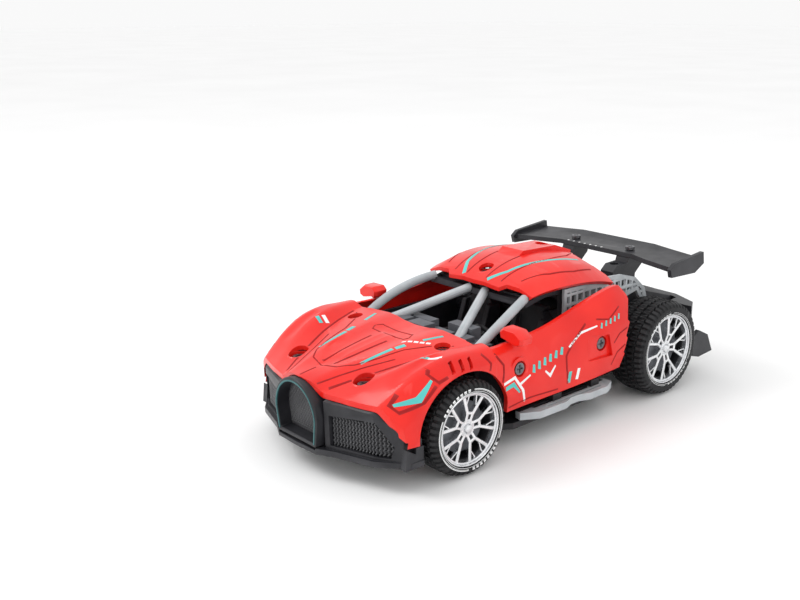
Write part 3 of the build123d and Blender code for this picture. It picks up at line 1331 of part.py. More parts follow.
def intake_grille(side):
    """Recessed mesh behind one intake, held in the bumper's wall."""
    with BuildPart() as mesh:
        add(wall_band(side, 1.4, 0.8, 9.0, 21.0))
        add(intake_cutter(side, -0.05), mode=Mode.INTERSECT)
        with BuildSketch(Plane.XZ.offset(90)):
            with Locations((side * 21.6, 14.6)):
                with HexLocations(1.25, 6, 5):
                    RegularPolygon(0.95, 6, mode=Mode.ADD)
        extrude(amount=-30, mode=Mode.SUBTRACT)
    return mesh.part


save(intake_grille(1), "grille_left")
save(intake_grille(-1), "grille_right")

# ---------------------------------------------------------------- rear bumper, light bar and exhausts
rear_lip_z = 8.4
rear_line = [(0, 78.4), (20.0, 77.6), (31.0, 73.0), (34.0, 68.0)]
rear_inner = [(31.6, 67.6), (28.6, 71.2), (19.2, 75.0), (0, 76.2)]
with BuildPart() as rear_bumper:
    with BuildSketch(Plane.XY.offset(rear_lip_z)):
        with BuildLine():
            half = rear_line + rear_inner
            Polyline(*(half + [(-x, y) for x, y in reversed(half[1:-1])]), close=True)
        make_face()
    extrude(amount=18.6)
    # sloping top rail
    with BuildSketch(Plane.XY.offset(25.0)):
        with BuildLine():
            half = rear_line + [(31.6, 67.6), (24.0, 68.0), (23.0, 74.3), (0, 74.3)]
            Polyline(*(half + [(-x, y) for x, y in reversed(half[1:-1])]), close=True)
        make_face()
    extrude(amount=2.0)
    # light bar slot and exhaust openings
    with Locations((0, 78.0, 20.6)):
        Box(40.0, 8.0, 3.0, mode=Mode.SUBTRACT)
    for side in (1, -1):
        with Locations((side * 7.0, 78.0, 12.6)):
            Cylinder(2.45, 12, rotation=(90, 0, 0), mode=Mode.SUBTRACT)
    # diffuser fins, the outer pair standing proud of the corners
    for x in (-35.2, -20.0, -13.6, 13.6, 20.0, 35.2):
        with BuildSketch(Plane.YZ.offset(x - 0.8)):
            with BuildLine():
                if abs(x) > 30:
                    Polyline((67.6, 16.0), (67.6, 8.4), (71.5, 7.2), (length / 2, 7.8), (76.6, 14.8), (71.0, 17.6),
                             close=True)
                else:
                    Polyline((74.6, 8.4), (74.6, 14.6), (77.4, 14.6), (79.4, 8.2), (77.0, 7.0), close=True)
            make_face()
        extrude(amount=1.6)
    # floor with two screw bosses on the chassis tail
    with Locations((0, 74.4, floor_top)):
        Box(50.0, 6.4, 1.6, align=(Align.CENTER, Align.CENTER, Align.MIN))
    for side in (1, -1):
        with Locations((side * 33.2, 69.4, 9.6)):
            Box(5.6, 3.4, 4.0, align=(Align.CENTER, Align.CENTER, Align.MIN))
        with Locations((side * bumper_post_x, 72.6, floor_top)):
            Cylinder(2.6, 4.0, align=(Align.CENTER, Align.CENTER, Align.MIN))
        with Locations((side * bumper_post_x, 72.6, floor_top - 1)):
            Cylinder(screw_clear, 12, mode=Mode.SUBTRACT)
    add(chassis.part, mode=Mode.SUBTRACT)
    add(deck_loft(0.0, 0.0), mode=Mode.SUBTRACT)
save(rear_bumper.part, "rear_bumper")

with BuildPart() as light_bar:
    with Locations((0, 77.0, 20.6)):
        Box(39.6, 2.2, 2.6)
    with Locations((0, 75.0, 20.6)):
        Box(30.0, 2.4, 2.2)
    fillet(light_bar.edges().filter_by(Axis.X).group_by(Axis.Y)[-1], 0.5)
save(light_bar.part, "light_bar")

with BuildPart() as exhaust_pipes:
    for side in (1, -1):
        with Locations((side * 7.0, 75.2, 12.6)):
            Cylinder(2.4, 7.0, rotation=(90, 0, 0))
        with Locations((side * 7.0, 79.0, 12.6)):
            Cylinder(1.8, 8.0, rotation=(90, 0, 0), mode=Mode.SUBTRACT)
    with Locations((0, 72.4, 12.6)):
        Box(14.0, 1.4, 3.0)
save(exhaust_pipes.part, "exhaust_pipes")


# ---------------------------------------------------------------- side steps
def side_step():
    """The left step: a kinked plate with a raised rim, hooked under the chassis brackets."""
    outline = [(31.4, -20.0), (34.0, -20.6), (37.4, -15.0), (37.6, -3.0), (36.2, 0.6), (36.2, 4.4), (37.8, 8.0),
               (37.8, 17.0), (35.6, 21.6), (31.6, 21.6), (31.6, 12.0), (34.0, 12.0), (34.0, -14.0), (31.4, -16.0)]
    with BuildPart() as step:
        with BuildSketch(Plane.XY.offset(8.4)):
            with BuildLine():
                Polyline(*outline, close=True)
            make_face()
        extrude(amount=2.4)
        # tabs that reach the brackets
        for y in step_bracket_y:
            with Locations((35.2, y, 8.4)):
                Box(1.4, 4.0, 2.4, align=(Align.CENTER, Align.CENTER, Align.MIN))
        add(chassis.part, mode=Mode.SUBTRACT)
        with Locations((35.6, 3.0, 10.4)):
            Box(1.0, 26.0, 1.0, mode=Mode.SUBTRACT)
    return step.part


save(side_step(), "side_step_left")
save(mirror(side_step(), about=Plane.YZ), "side_step_right")

# ---------------------------------------------------------------- screws of the body
with BuildPart() as shell_screws:
    for x, y in hood_screws + nose_screws:
        add(screw(9.0).moved(Location((x, y, height_at(hood_stations, abs(x), y) - recess_depth))))
    for x, y in roof_screws:
        add(screw(6.0).moved(Location((x, y, height_at(roof_stations, x, y) - recess_depth))))
save(shell_screws.part, "shell_screws")

with BuildPart() as door_screw_set:
    for side in (1, -1):
        for y, z in door_screws:
            place = Location((side * (door_screw_floor_x + 1.2), y, z), (0, 90 * side, 0))
            add(screw(5.6).moved(place))
save(door_screw_set.part, "door_screws")

with BuildPart() as tail_screws:
    for side in (1, -1):
        add(screw(5.0, 1.7, 1.0).moved(Location((side * stanchion_x, 57.4, wing_base_z + wing_t + 0.5))))
    add(screw(9.0, 1.7, 1.0).moved(Location((0, rear_post_y, 28.6))))
save(tail_screws.part, "tail_screws")

with BuildPart() as underside_screws:
    upright = [(x, y, 7.4) for x, y in tub_screw_xy]
    upright += [(0, y, 4.7) for y in motor_foot_y]
    upright += [(side * bumper_post_x / 2, -70.0, 6.0) for side in (1, -1)]
    upright += [(side * bumper_post_x, 72.6, 6.0) for side in (1, -1)]
    for x, y, shank in upright:
        add(screw(shank).moved(Location((x, y, floor_z + 1.3), (180, 0, 0))))
save(underside_screws.part, "underside_screws")
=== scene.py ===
import bpy, bmesh, math
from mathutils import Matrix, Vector
from mathutils.bvhtree import BVHTree


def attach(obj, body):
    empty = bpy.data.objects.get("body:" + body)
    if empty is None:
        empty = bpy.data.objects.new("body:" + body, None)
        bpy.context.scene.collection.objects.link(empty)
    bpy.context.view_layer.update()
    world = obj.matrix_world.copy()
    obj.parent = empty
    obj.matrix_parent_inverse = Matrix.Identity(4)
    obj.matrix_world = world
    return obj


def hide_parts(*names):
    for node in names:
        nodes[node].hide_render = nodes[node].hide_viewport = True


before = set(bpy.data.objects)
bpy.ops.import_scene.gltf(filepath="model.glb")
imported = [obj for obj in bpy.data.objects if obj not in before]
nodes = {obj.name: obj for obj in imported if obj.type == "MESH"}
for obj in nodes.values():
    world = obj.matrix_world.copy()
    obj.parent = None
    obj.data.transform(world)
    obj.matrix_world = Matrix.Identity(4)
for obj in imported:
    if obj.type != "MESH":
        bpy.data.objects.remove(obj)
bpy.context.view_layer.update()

MM = 0.001
scene = bpy.context.scene

# places and sizes that several pieces share, in millimetres
FRONT_AXLE = (-46.0, 14.6)      # (y, z)
REAR_AXLE = (47.5, 16.8)
ARCH_RADIUS = 17.2              # opening over the front wheel
WALL = 1.4                      # painted shell
WELLS = ((16.5, -66.5, 2.9, 3.3, 29.6), (21.5, -41.0, 2.5, 2.5, 34.0))      # x, y, radii, hood height
WELL_GAP = 0.02                 # between a screw well's lining and its hole
WELL_DEPTH = 3.0


# ------------------------------------------------------------------ node helpers
def new_material(name):
    """An empty material with its node tree and shader."""
    mat = bpy.data.materials.new(name)
    mat.use_nodes = True
    tree = mat.node_tree
    shader = tree.nodes["Principled BSDF"]
    return mat, tree, shader


def noise(tree, scale, detail=3.0, rough=0.55):
    coord = tree.nodes.new("ShaderNodeTexCoord")
    tex = tree.nodes.new("ShaderNodeTexNoise")
    tex.inputs["Scale"].default_value = scale
    tex.inputs["Detail"].default_value = detail
    tex.inputs["Roughness"].default_value = rough
    tree.links.new(coord.outputs["Object"], tex.inputs["Vector"])
    return tex


def ramp(tree, source, stops):
    """Colour ramp over source; stops are (position, colour)."""
    node = tree.nodes.new("ShaderNodeValToRGB")
    node.color_ramp.elements[0].position = stops[0][0]
    node.color_ramp.elements[0].color = (*stops[0][1], 1)
    node.color_ramp.elements[1].position = stops[-1][0]
    node.color_ramp.elements[1].color = (*stops[-1][1], 1)
    for position, color in stops[1:-1]:
        element = node.color_ramp.elements.new(position)
        element.color = (*color, 1)
    tree.links.new(source, node.inputs["Fac"])
    return node


def map_range(tree, source, low, high):
    """Source, from 0 to 1, stretched to low to high."""
    node = tree.nodes.new("ShaderNodeMapRange")
    node.inputs["To Min"].default_value = low
    node.inputs["To Max"].default_value = high
    tree.links.new(source, node.inputs["Value"])
    return node


def bump(tree, shader, source, distance, strength=0.5, edge=0.0):
    """Bump from a texture, over softly rounded edges."""
    node = tree.nodes.new("ShaderNodeBump")
    node.inputs["Distance"].default_value = distance
    node.inputs["Strength"].default_value = strength
    tree.links.new(source, node.inputs["Height"])
    if edge:
        rounded = tree.nodes.new("ShaderNodeBevel")
        rounded.samples = 4
        rounded.inputs["Radius"].default_value = edge
        tree.links.new(rounded.outputs["Normal"], node.inputs["Normal"])
    tree.links.new(node.outputs["Normal"], shader.inputs["Normal"])
    return node


def edge_wear_and_highlight(tree, color, shader, light, amount=0.5):
    """Colour lighter along the raised edges, broken up by a fine noise: partly wear, partly a painted
    highlight on the edges.
    """
    edges = map_range(tree, tree.nodes.new("ShaderNodeNewGeometry").outputs["Pointiness"], 0.0, amount)
    edges.inputs["From Min"].default_value = 0.53
    edges.inputs["From Max"].default_value = 0.64
    patchy = map_range(tree, noise(tree, 340, 3).outputs["Fac"], 0.35, 1.0)
    wear_and_highlight_mask = tree.nodes.new("ShaderNodeMath")
    wear_and_highlight_mask.operation = "MULTIPLY"
    tree.links.new(edges.outputs["Result"], wear_and_highlight_mask.inputs[0])
    tree.links.new(patchy.outputs["Result"], wear_and_highlight_mask.inputs[1])
    mix = tree.nodes.new("ShaderNodeMix")
    mix.data_type = "RGBA"
    tree.links.new(wear_and_highlight_mask.outputs["Value"], mix.inputs[0])
    tree.links.new(color, mix.inputs[6])
    mix.inputs[7].default_value = (*light, 1)
    tree.links.new(mix.outputs[2], shader.inputs["Base Color"])


def paint(name, dark, base, light, edge=0.00022):
    """Sprayed enamel: slight colour drift, fine orange peel, clear coat."""
    mat, tree, shader = new_material(name)
    drift = noise(tree, 55, 2)
    color = ramp(tree, drift.outputs["Fac"], [(0.30, dark), (0.5, base), (0.72, light)])
    # lighter edge colour: partly wear, partly painted highlight
    rubbed_and_highlit = (min(1.0, base[0] * 1.25), base[1] + 0.09, base[2] + 0.08)
    edge_wear_and_highlight(tree, color.outputs["Color"], shader, rubbed_and_highlit, 0.55)
    rough = map_range(tree, noise(tree, 420, 4).outputs["Fac"], 0.26, 0.40)
    tree.links.new(rough.outputs["Result"], shader.inputs["Roughness"])
    shader.inputs["Coat Weight"].default_value = 0.35
    shader.inputs["Coat Roughness"].default_value = 0.12
    shader.inputs["Specular IOR Level"].default_value = 0.22
    bump(tree, shader, noise(tree, 1500, 2).outputs["Fac"], 0.00002, 0.25, edge)
    return mat


def plastic(name, dark, base, low, high, grain=2600, depth=0.00003, edge=0.0002):
    """Moulded plastic with a fine spark-eroded grain and slightly uneven sheen."""
    mat, tree, shader = new_material(name)
    drift = noise(tree, 130, 4)
    color = ramp(tree, drift.outputs["Fac"], [(0.32, dark), (0.68, base)])
    # edges lightened: partly wear, partly painted highlight
    edge_wear_and_highlight(tree, color.outputs["Color"], shader, tuple(min(1.0, c * 1.3 + 0.05) for c in base), 0.6)
    rough = map_range(tree, noise(tree, 300, 4).outputs["Fac"], low, high)
    tree.links.new(rough.outputs["Result"], shader.inputs["Roughness"])
    shader.inputs["Specular IOR Level"].default_value = 0.34
    bump(tree, shader, noise(tree, grain, 2).outputs["Fac"], depth, 0.5, edge)
    return mat


def metal(name, dark, base, low, high, grain=900, stretch=(1, 1, 1)):
    """Bare or plated metal; stretch draws the grain out along an axis."""
    mat, tree, shader = new_material(name)
    coord = tree.nodes.new("ShaderNodeTexCoord")
    mapping = tree.nodes.new("ShaderNodeMapping")
    mapping.inputs["Scale"].default_value = stretch
    tex = tree.nodes.new("ShaderNodeTexNoise")
    tex.inputs["Scale"].default_value = grain
    tex.inputs["Detail"].default_value = 4
    tree.links.new(coord.outputs["Object"], mapping.inputs["Vector"])
    tree.links.new(mapping.outputs["Vector"], tex.inputs["Vector"])
    color = ramp(tree, tex.outputs["Fac"], [(0.3, dark), (0.7, base)])
    # edges lightened: partly wear, partly painted highlight
    edge_wear_and_highlight(tree, color.outputs["Color"], shader, tuple(min(1.0, c * 1.2 + 0.03) for c in base), 0.6)
    rough = map_range(tree, tex.outputs["Fac"], low, high)
    tree.links.new(rough.outputs["Result"], shader.inputs["Roughness"])
    shader.inputs["Metallic"].default_value = 1.0
    bump(tree, shader, tex.outputs["Fac"], 0.00001, 0.3, 0.00012)
    return mat


RED = paint("red_enamel", (0.70, 0.010, 0.006), (0.80, 0.014, 0.008), (0.86, 0.022, 0.012))
# a darker copy of the red enamel: painted shade behind the slots over the wheels
RED_PAINTED_SHADE = paint("red_painted_shade", (0.46, 0.006, 0.004), (0.54, 0.008, 0.006), (0.60, 0.011, 0.007))
RED_LINE = plastic("panel_line", (0.26, 0.002, 0.003), (0.36, 0.004, 0.004), 0.75, 0.9)
TEAL_DARK = plastic("teal_edge", (0.010, 0.075, 0.080), (0.018, 0.12, 0.125), 0.35, 0.5)
MESH = plastic("grille_moulding", (0.030, 0.030, 0.034), (0.065, 0.065, 0.070), 0.26, 0.42)
TEAL = plastic("teal_print", (0.07, 0.44, 0.42), (0.10, 0.56, 0.52), 0.35, 0.5)
WHITE = plastic("white_print", (0.82, 0.84, 0.84), (0.92, 0.93, 0.93), 0.35, 0.5)
BLACK = plastic("black_moulding", (0.007, 0.007, 0.009), (0.018, 0.018, 0.021), 0.34, 0.54)
TRIM = plastic("bumper_moulding", (0.013, 0.013, 0.016), (0.030, 0.030, 0.035), 0.30, 0.48)
CABIN = plastic("cabin_moulding", (0.010, 0.010, 0.013), (0.024, 0.024, 0.030), 0.42, 0.66)
GREY = plastic("grey_moulding", (0.075, 0.080, 0.092), (0.13, 0.135, 0.15), 0.40, 0.60)
LIGHT = plastic("light_grey_moulding", (0.36, 0.39, 0.41), (0.47, 0.50, 0.52), 0.32, 0.50)
RUBBER = plastic("tyre_rubber", (0.005, 0.005, 0.006), (0.013, 0.013, 0.015), 0.46, 0.70, 1800, 0.00005,
                 0.00015)
SILVER = metal("plated_rim", (0.62, 0.63, 0.65), (0.82, 0.83, 0.85), 0.16, 0.34, 700)
STEEL = metal("drawn_steel", (0.42, 0.42, 0.44), (0.62, 0.62, 0.64), 0.22, 0.38, 600, (0.05, 1, 1))
SCREW = metal("blackened_screw", (0.10, 0.10, 0.11), (0.20, 0.20, 0.21), 0.32, 0.52, 1500)
BLUED = metal("spring_steel", (0.20, 0.22, 0.27), (0.36, 0.38, 0.42), 0.22, 0.40, 500, (1, 1, 6))
NICKEL = metal("cell_nickel", (0.60, 0.60, 0.58), (0.76, 0.76, 0.74), 0.18, 0.32, 1200)
NYLON = plastic("gear_nylon", (0.66, 0.64, 0.56), (0.80, 0.78, 0.70), 0.34, 0.50)
BOARD = plastic("board_lacquer", (0.010, 0.11, 0.045), (0.020, 0.17, 0.070), 0.20, 0.40, 700, 0.00006)
CONE = plastic("paper_cone", (0.016, 0.015, 0.015), (0.040, 0.038, 0.036), 0.70, 0.92, 1400, 0.00008)
LAMP = plastic("lamp_red", (0.16, 0.003, 0.004), (0.30, 0.006, 0.008), 0.10, 0.20, 900, 0.00002)


# ------------------------------------------------------------------ mesh helpers
def make(name, verts, faces, mat, body="car", slot=None, hides=(), smooth=40.0):
    """A mesh piece from millimetre coordinates, smooth shaded but for creases over smooth degrees."""
    mesh = bpy.data.meshes.new(name)
    mesh.from_pydata([(x * MM, y * MM, z * MM) for x, y, z in verts], [], faces)
    obj = bpy.data.objects.new(name, mesh)
    return place(obj, mat, body, hides, smooth)


def place(obj, mat, body="car", hides=(), smooth=40.0):
    """Gives a piece its material, its body and the nodes that it stands in for."""
    if obj.name not in scene.collection.objects:
        scene.collection.objects.link(obj)
    obj.data.materials.clear()
    obj.data.materials.append(mat)
    crease(obj.data, smooth)
    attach(obj, body)
    if hides:
        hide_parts(*hides)
    return obj


def crease(mesh, angle):
    """Smooth shading, with edges sharper than angle degrees kept crisp."""
    work = bmesh.new()
    work.from_mesh(mesh)
    bmesh.ops.recalc_face_normals(work, faces=work.faces)
    for face in work.faces:
        face.smooth = True
    limit = math.radians(angle)
    for edge in work.edges:
        edge.smooth = not (len(edge.link_faces) == 2 and edge.calc_face_angle(0) > limit)
    work.to_mesh(mesh)
    work.free()


def moulded(node, mat, body="car", width=0.25, angle=38.0, smooth=34.0, name=None):
    """The CAD piece as a moulding: merged faces and rounded outer edges."""
    mesh = nodes[node].data.copy()
    work = bmesh.new()
    work.from_mesh(mesh)
    bmesh.ops.remove_doubles(work, verts=work.verts, dist=1e-6)
    bmesh.ops.dissolve_limit(work, angle_limit=math.radians(0.6), verts=work.verts, edges=work.edges)
    work.to_mesh(mesh)
    work.free()
    obj = bpy.data.objects.new(name or node + "_skin", mesh)
    place(obj, mat, body, (node,), smooth)
    if width:
        bevel = obj.modifiers.new("edges", "BEVEL")
        bevel.width = width * MM
        bevel.segments = 2
        bevel.limit_method = "ANGLE"
        bevel.angle_limit = math.radians(angle)
        bevel.use_clamp_overlap = True
    return obj


def lathe(profile, steps, axis_y, axis_z, side=1, closed=False):
    """Verts and faces of a ring turned about an axis along X; profile is (x, radius)."""
    verts, faces = [], []
    count = len(profile)
    for step in range(steps):
        angle = 2 * math.pi * step / steps
        for x, radius in profile:
            verts.append((side * x, axis_y + radius * math.cos(angle), axis_z + radius * math.sin(angle)))
    rows = count if closed else count - 1
    for step in range(steps):
        other = (step + 1) % steps
        for row in range(rows):
            nxt = (row + 1) % count
            faces.append((step * count + row, step * count + nxt, other * count + nxt, other * count + row))
    return verts, faces


def merge(groups):
    """Several (verts, faces) groups as one."""
    verts, faces = [], []
    for group_verts, group_faces in groups:
        start = len(verts)
        verts += group_verts
        faces += [tuple(index + start for index in face) for face in group_faces]
    return verts, faces


def prism(outline, low, high):
    """Verts and faces of a prism; outline gives three-dimensional points for each end by a function."""
    count = len(outline)
    verts = [low(point) for point in outline] + [high(point) for point in outline]
    faces = [tuple(range(count - 1, -1, -1)), tuple(range(count, 2 * count))]
    for index in range(count):
        nxt = (index + 1) % count
        faces.append((index, nxt, count + nxt, count + index))
    return verts, faces


def boolean(obj, cutter_verts, cutter_faces, operation="DIFFERENCE"):
    """Cuts a piece with a closed solid and applies it."""
    mesh = bpy.data.meshes.new("cutter")
    mesh.from_pydata([(x * MM, y * MM, z * MM) for x, y, z in cutter_verts], [], cutter_faces)
    work = bmesh.new()
    work.from_mesh(mesh)
    bmesh.ops.recalc_face_normals(work, faces=work.faces)
    work.to_mesh(mesh)
    work.free()
    cutter = bpy.data.objects.new("cutter", mesh)
    scene.collection.objects.link(cutter)
    modifier = obj.modifiers.new("cut", "BOOLEAN")
    modifier.operation = operation
    modifier.solver = "EXACT"
    modifier.object = cutter
    apply_all(obj)
    bpy.data.objects.remove(cutter)
    bpy.data.meshes.remove(mesh)


def apply_all(obj):
    """Turns the object's modifiers into its mesh."""
    bpy.context.view_layer.update()
    graph = bpy.context.evaluated_depsgraph_get()
    mesh = bpy.data.meshes.new_from_object(obj.evaluated_get(graph))
    obj.modifiers.clear()
    old = obj.data
    obj.data = mesh
    bpy.data.meshes.remove(old)


# ------------------------------------------------------------------ nose, hood and wings
STATIONS = [
    (-84, (0, 27.6), (5, 26.6), (8.5, 22.8), (15, 19.5), (24, 15.5), (28, 10.0), (29, 2.0)),
    (-77, (0, 29.3), (6, 28.5), (10.0, 26.0), (17, 24.6), (27, 21.6), (32.5, 15.0), (33, 4.0)),
    (-70, (0, 30.2), (7, 30.5), (13.0, 28.4), (20, 28.2), (29.5, 26.4), (35.3, 19.0), (35.8, 8.0)),
    (-62, (0, 31.4), (9, 32.2), (17.0, 30.4), (23, 32.2), (31.5, 31.8), (36.8, 25.5), (37.2, 10.0)),
    (-54, (0, 32.8), (11, 33.6), (21.0, 32.2), (26, 35.2), (33, 35.2), (37.6, 31.0), (38.0, 12.0)),
    (-46, (0, 33.9), (12, 34.7), (24.2, 33.4), (28.5, 36.4), (34, 36.4), (37.9, 33.2), (38.2, 12.0)),
    (-38, (0, 34.7), (13, 35.5), (26.6, 34.4), (30.5, 36.4), (34.4, 36.0), (37.7, 33.0), (38.0, 12.0)),
    (-30, (0, 35.2), (13, 36.0), (27.6, 35.0), (31.5, 36.2), (34.6, 35.6), (37.2, 32.6), (37.6, 12.0)),
]
ROUND = (1.6, 1.2, 0.4, 1.5, 1.5, 1.8, 0.0)      # softening of each outline corner


def spline(values, positions, at):
    """Catmull-Rom through values at uneven positions."""
    index = max(i for i in range(len(positions) - 1) if positions[i] <= at + 1e-9)
    t = (at - positions[index]) / (positions[index + 1] - positions[index])
    p1, p2 = values[index], values[index + 1]
    p0 = values[index - 1] if index else 2 * p1 - p2
    p3 = values[index + 2] if index + 2 < len(values) else 2 * p2 - p1
    return 0.5 * (2 * p1 + (p2 - p0) * t + (2 * p0 - 5 * p1 + 4 * p2 - p3) * t * t
                  + (3 * p1 - p0 - 3 * p2 + p3) * t ** 3)


def hood_outline(y):
    """The cross-section (x, z) of the painted nose at y, left to right."""
    keys = [row[0] for row in STATIONS]
    half = []
    for column in range(7):
        half.append((spline([row[column + 1][0] for row in STATIONS], keys, y),
                     spline([row[column + 1][1] for row in STATIONS], keys, y)))
    full = [(x, z) for x, z in reversed(half)] + [(-x, z) for x, z in half[1:]]
    radii = list(reversed(ROUND)) + list(ROUND[1:])
    points = [full[0]]
    for index in range(1, len(full) - 1):
        before, here, after = Vector(full[index - 1]), Vector(full[index]), Vector(full[index + 1])
        first = (before - here)
        second = (after - here)
        d1 = min(radii[index], 0.42 * first.length)
        d2 = min(radii[index], 0.42 * second.length)
        start = here + first.normalized() * d1
        end = here + second.normalized() * d2
        for part in range(5):
            t = part / 4
            point = start * (1 - t) ** 2 + here * 2 * t * (1 - t) + end * t * t
            points.append((point.x, point.y))
    points.append(full[-1])
    dense = [points[0]]
    for first, second in zip(points, points[1:]):
        for part in range(1, 5):
            t = part / 4
            dense.append((first[0] + (second[0] - first[0]) * t, first[1] + (second[1] - first[1]) * t))
    return dense


def smooth_step(low, high, value):
    """0 below low, 1 above high, and a smooth rise between them."""
    t = min(1.0, max(0.0, (value - low) / (high - low)))
    return t * t * (3 - 2 * t)


def hood_relief(x, y):
    """Shallow sunk panels on the hood and scallops on the wings."""
    depth = 0.0
    reach = abs(x)
    # centre panel, widest at mid hood, pointed at the nose
    half = 9.4 * smooth_step(-72, -58, y) * (1 - 0.25 * smooth_step(-46, -36, y))
    if half > 0.6:
        depth -= 0.42 * (1 - smooth_step(half - 0.5, half + 0.5, reach)) * smooth_step(-71, -68, y)
        depth += 0.55 * (1 - smooth_step(1.6, 3.0, reach)) * smooth_step(-66, -60, y) \
            * (1 - smooth_step(-46, -43, y))
    # slanted scoop on each wing
    along = (y + 64) / 18
    centre = 27.0 + 4.0 * along
    if -0.1 < along < 1.0:
        depth -= 0.5 * (1 - smooth_step(1.0, 2.2, abs(reach - centre))) * smooth_step(-66, -62, y) \
            * (1 - smooth_step(-52, -49, y))
    return depth


def front_shell():
    """Hood, nose and front wings in one sheet, with its openings cut."""
    rows = []
    y = -81.0
    while y <= -32.4:
        rows.append((y, hood_outline(y)))
        y += 0.9
    verts, faces = [], []
    count = len(rows[0][1])
    for y, outline in rows:
        for x, z in outline:
            verts.append((x, y, z + (hood_relief(x, y) if z > 18 else 0)))
    for row in range(len(rows) - 1):
        for column in range(count - 1):
            start = row * count + column
            faces.append((start, start + 1, start + count + 1, start + count))
    obj = make("front_shell_skin", verts, faces, RED, "car", "red_paint", ("front_shell",), 60)
    # wall thickness
    solid = obj.modifiers.new("wall", "SOLIDIFY")
    solid.thickness = WALL * MM
    solid.offset = -1.0
    solid.use_even_offset = False
    apply_all(obj)
    plan = [(0, -77.8), (10.6, -76.4), (19, -74.2), (27, -71.6), (32, -69.9), (36.0, -67.6), (38.2, -64.6),
            (39.2, -60), (39.2, -34.0), (29, -34.0), (24, -33.6), (22.5, -32.9), (15, -32.7), (12, -33.4),
            (6, -33.2), (0, -32.6)]
    ring = plan + [(-x, py) for x, py in reversed(plan[1:-1])]
    boolean(obj, *prism(ring, lambda p: (p[0], p[1], 14.2), lambda p: (p[0], p[1], 46)), "INTERSECT")
    # open front under the painted edge: gently curved from mouth to tip
    edge = [(0, 22.0), (9, 22.2), (14, 22.5), (20, 22.9), (24.5, 23.2), (27.5, 22.6), (30.4, 20.8),
            (33.4, 18.4), (36.2, 16.0), (36.2, 0)]
    ring = edge + [(-x, z) for x, z in reversed(edge[1:])]
    boolean(obj, *prism(ring, lambda p: (p[0], -90, p[1]), lambda p: (p[0], -50, p[1])))
    for side in (1, -1):
        arch = []
        for step in range(64):
            angle = 2 * math.pi * step / 64
            arch.append((FRONT_AXLE[0] + ARCH_RADIUS * math.cos(angle),
                         FRONT_AXLE[1] + ARCH_RADIUS * math.sin(angle)))
        boolean(obj, *prism(arch, lambda p: (side * 23, p[0], p[1]), lambda p: (side * 45, p[0], p[1])))
    mouth = [(-8.7, 5.0)] + [
        (-11.0 * math.cos(math.pi * k / 20), 17.6 + 11.2 * math.sin(math.pi * k / 20)) for k in range(21)
    ] + [(8.7, 5.0)]
    boolean(obj, *prism(mouth, lambda p: (p[0], -90, p[1]), lambda p: (p[0], -70, p[1])))
    # screw wells: elongated on the nose, round at the rear of the hood
    for x, y, rx, ry, top in WELLS:
        for side in (1, -1):
            oval = [(side * x + rx * math.cos(k * math.pi / 16), y + ry * math.sin(k * math.pi / 16))
                    for k in range(32)]
            boolean(obj, *prism(oval, lambda p: (p[0], p[1], 20), lambda p: (p[0], p[1], 45)))
    # three slanted slots over each wheel
    for side in (1, -1):
        for step in range(3):
            y = -51.2 + 3.1 * step
            slot_ring = [(y, 32.2), (y + 1.3, 32.6), (y + 2.0, 35.4), (y + 0.7, 35.0)]
            boolean(obj, *prism(slot_ring, lambda p: (side * 33.6, p[0], p[1]),
                                lambda p: (side * 40, p[0], p[1])))
    crease(obj.data, 42)
    obj.data.materials.clear()
    obj.data.materials.append(RED)
    return obj


def screw_wells():
    """Linings of the screw wells: a sleeve with a floor that the screw passes through."""
    steps = 32
    wells = []
    for x, y, rx, ry, top in WELLS:
        floor = top - WELL_DEPTH
        section = ((1.0, top - 0.9), (1.0, floor), (0.42, floor), (0.42, floor - 0.6), (1.12, floor - 0.6),
                   (1.12, top - 1.3))
        count = len(section)
        for side in (1, -1):
            verts, faces = [], []
            for k in range(steps):
                angle = 2 * math.pi * k / steps
                for scale, z in section:
                    verts.append((side * x + scale * (rx - WELL_GAP) * math.cos(angle),
                                  y + scale * (ry - WELL_GAP) * math.sin(angle), z))
                other = (k + 1) % steps
                for row in range(count):
                    nxt = (row + 1) % count
                    faces.append((k * count + row, k * count + nxt, other * count + nxt, other * count + row))
            wells.append((verts, faces))
    make("shell_wells", *merge(wells), RED, "car", "red_paint")


def slot_backing():
    """Plates behind the slots over the wheels, in a darker copy of the red enamel as painted shade."""
    outline = [(-52, 31.6), (-42.4, 31.6), (-42.4, 34.4), (-52, 34.4)]
    plates = [prism(outline, lambda p: (side * 34.0, p[0], p[1]), lambda p: (side * 34.6, p[0], p[1]))
              for side in (1, -1)]
    make("slot_backing", *merge(plates), RED_PAINTED_SHADE, "car", "red_paint")


hood = front_shell()
screw_wells()
slot_backing()


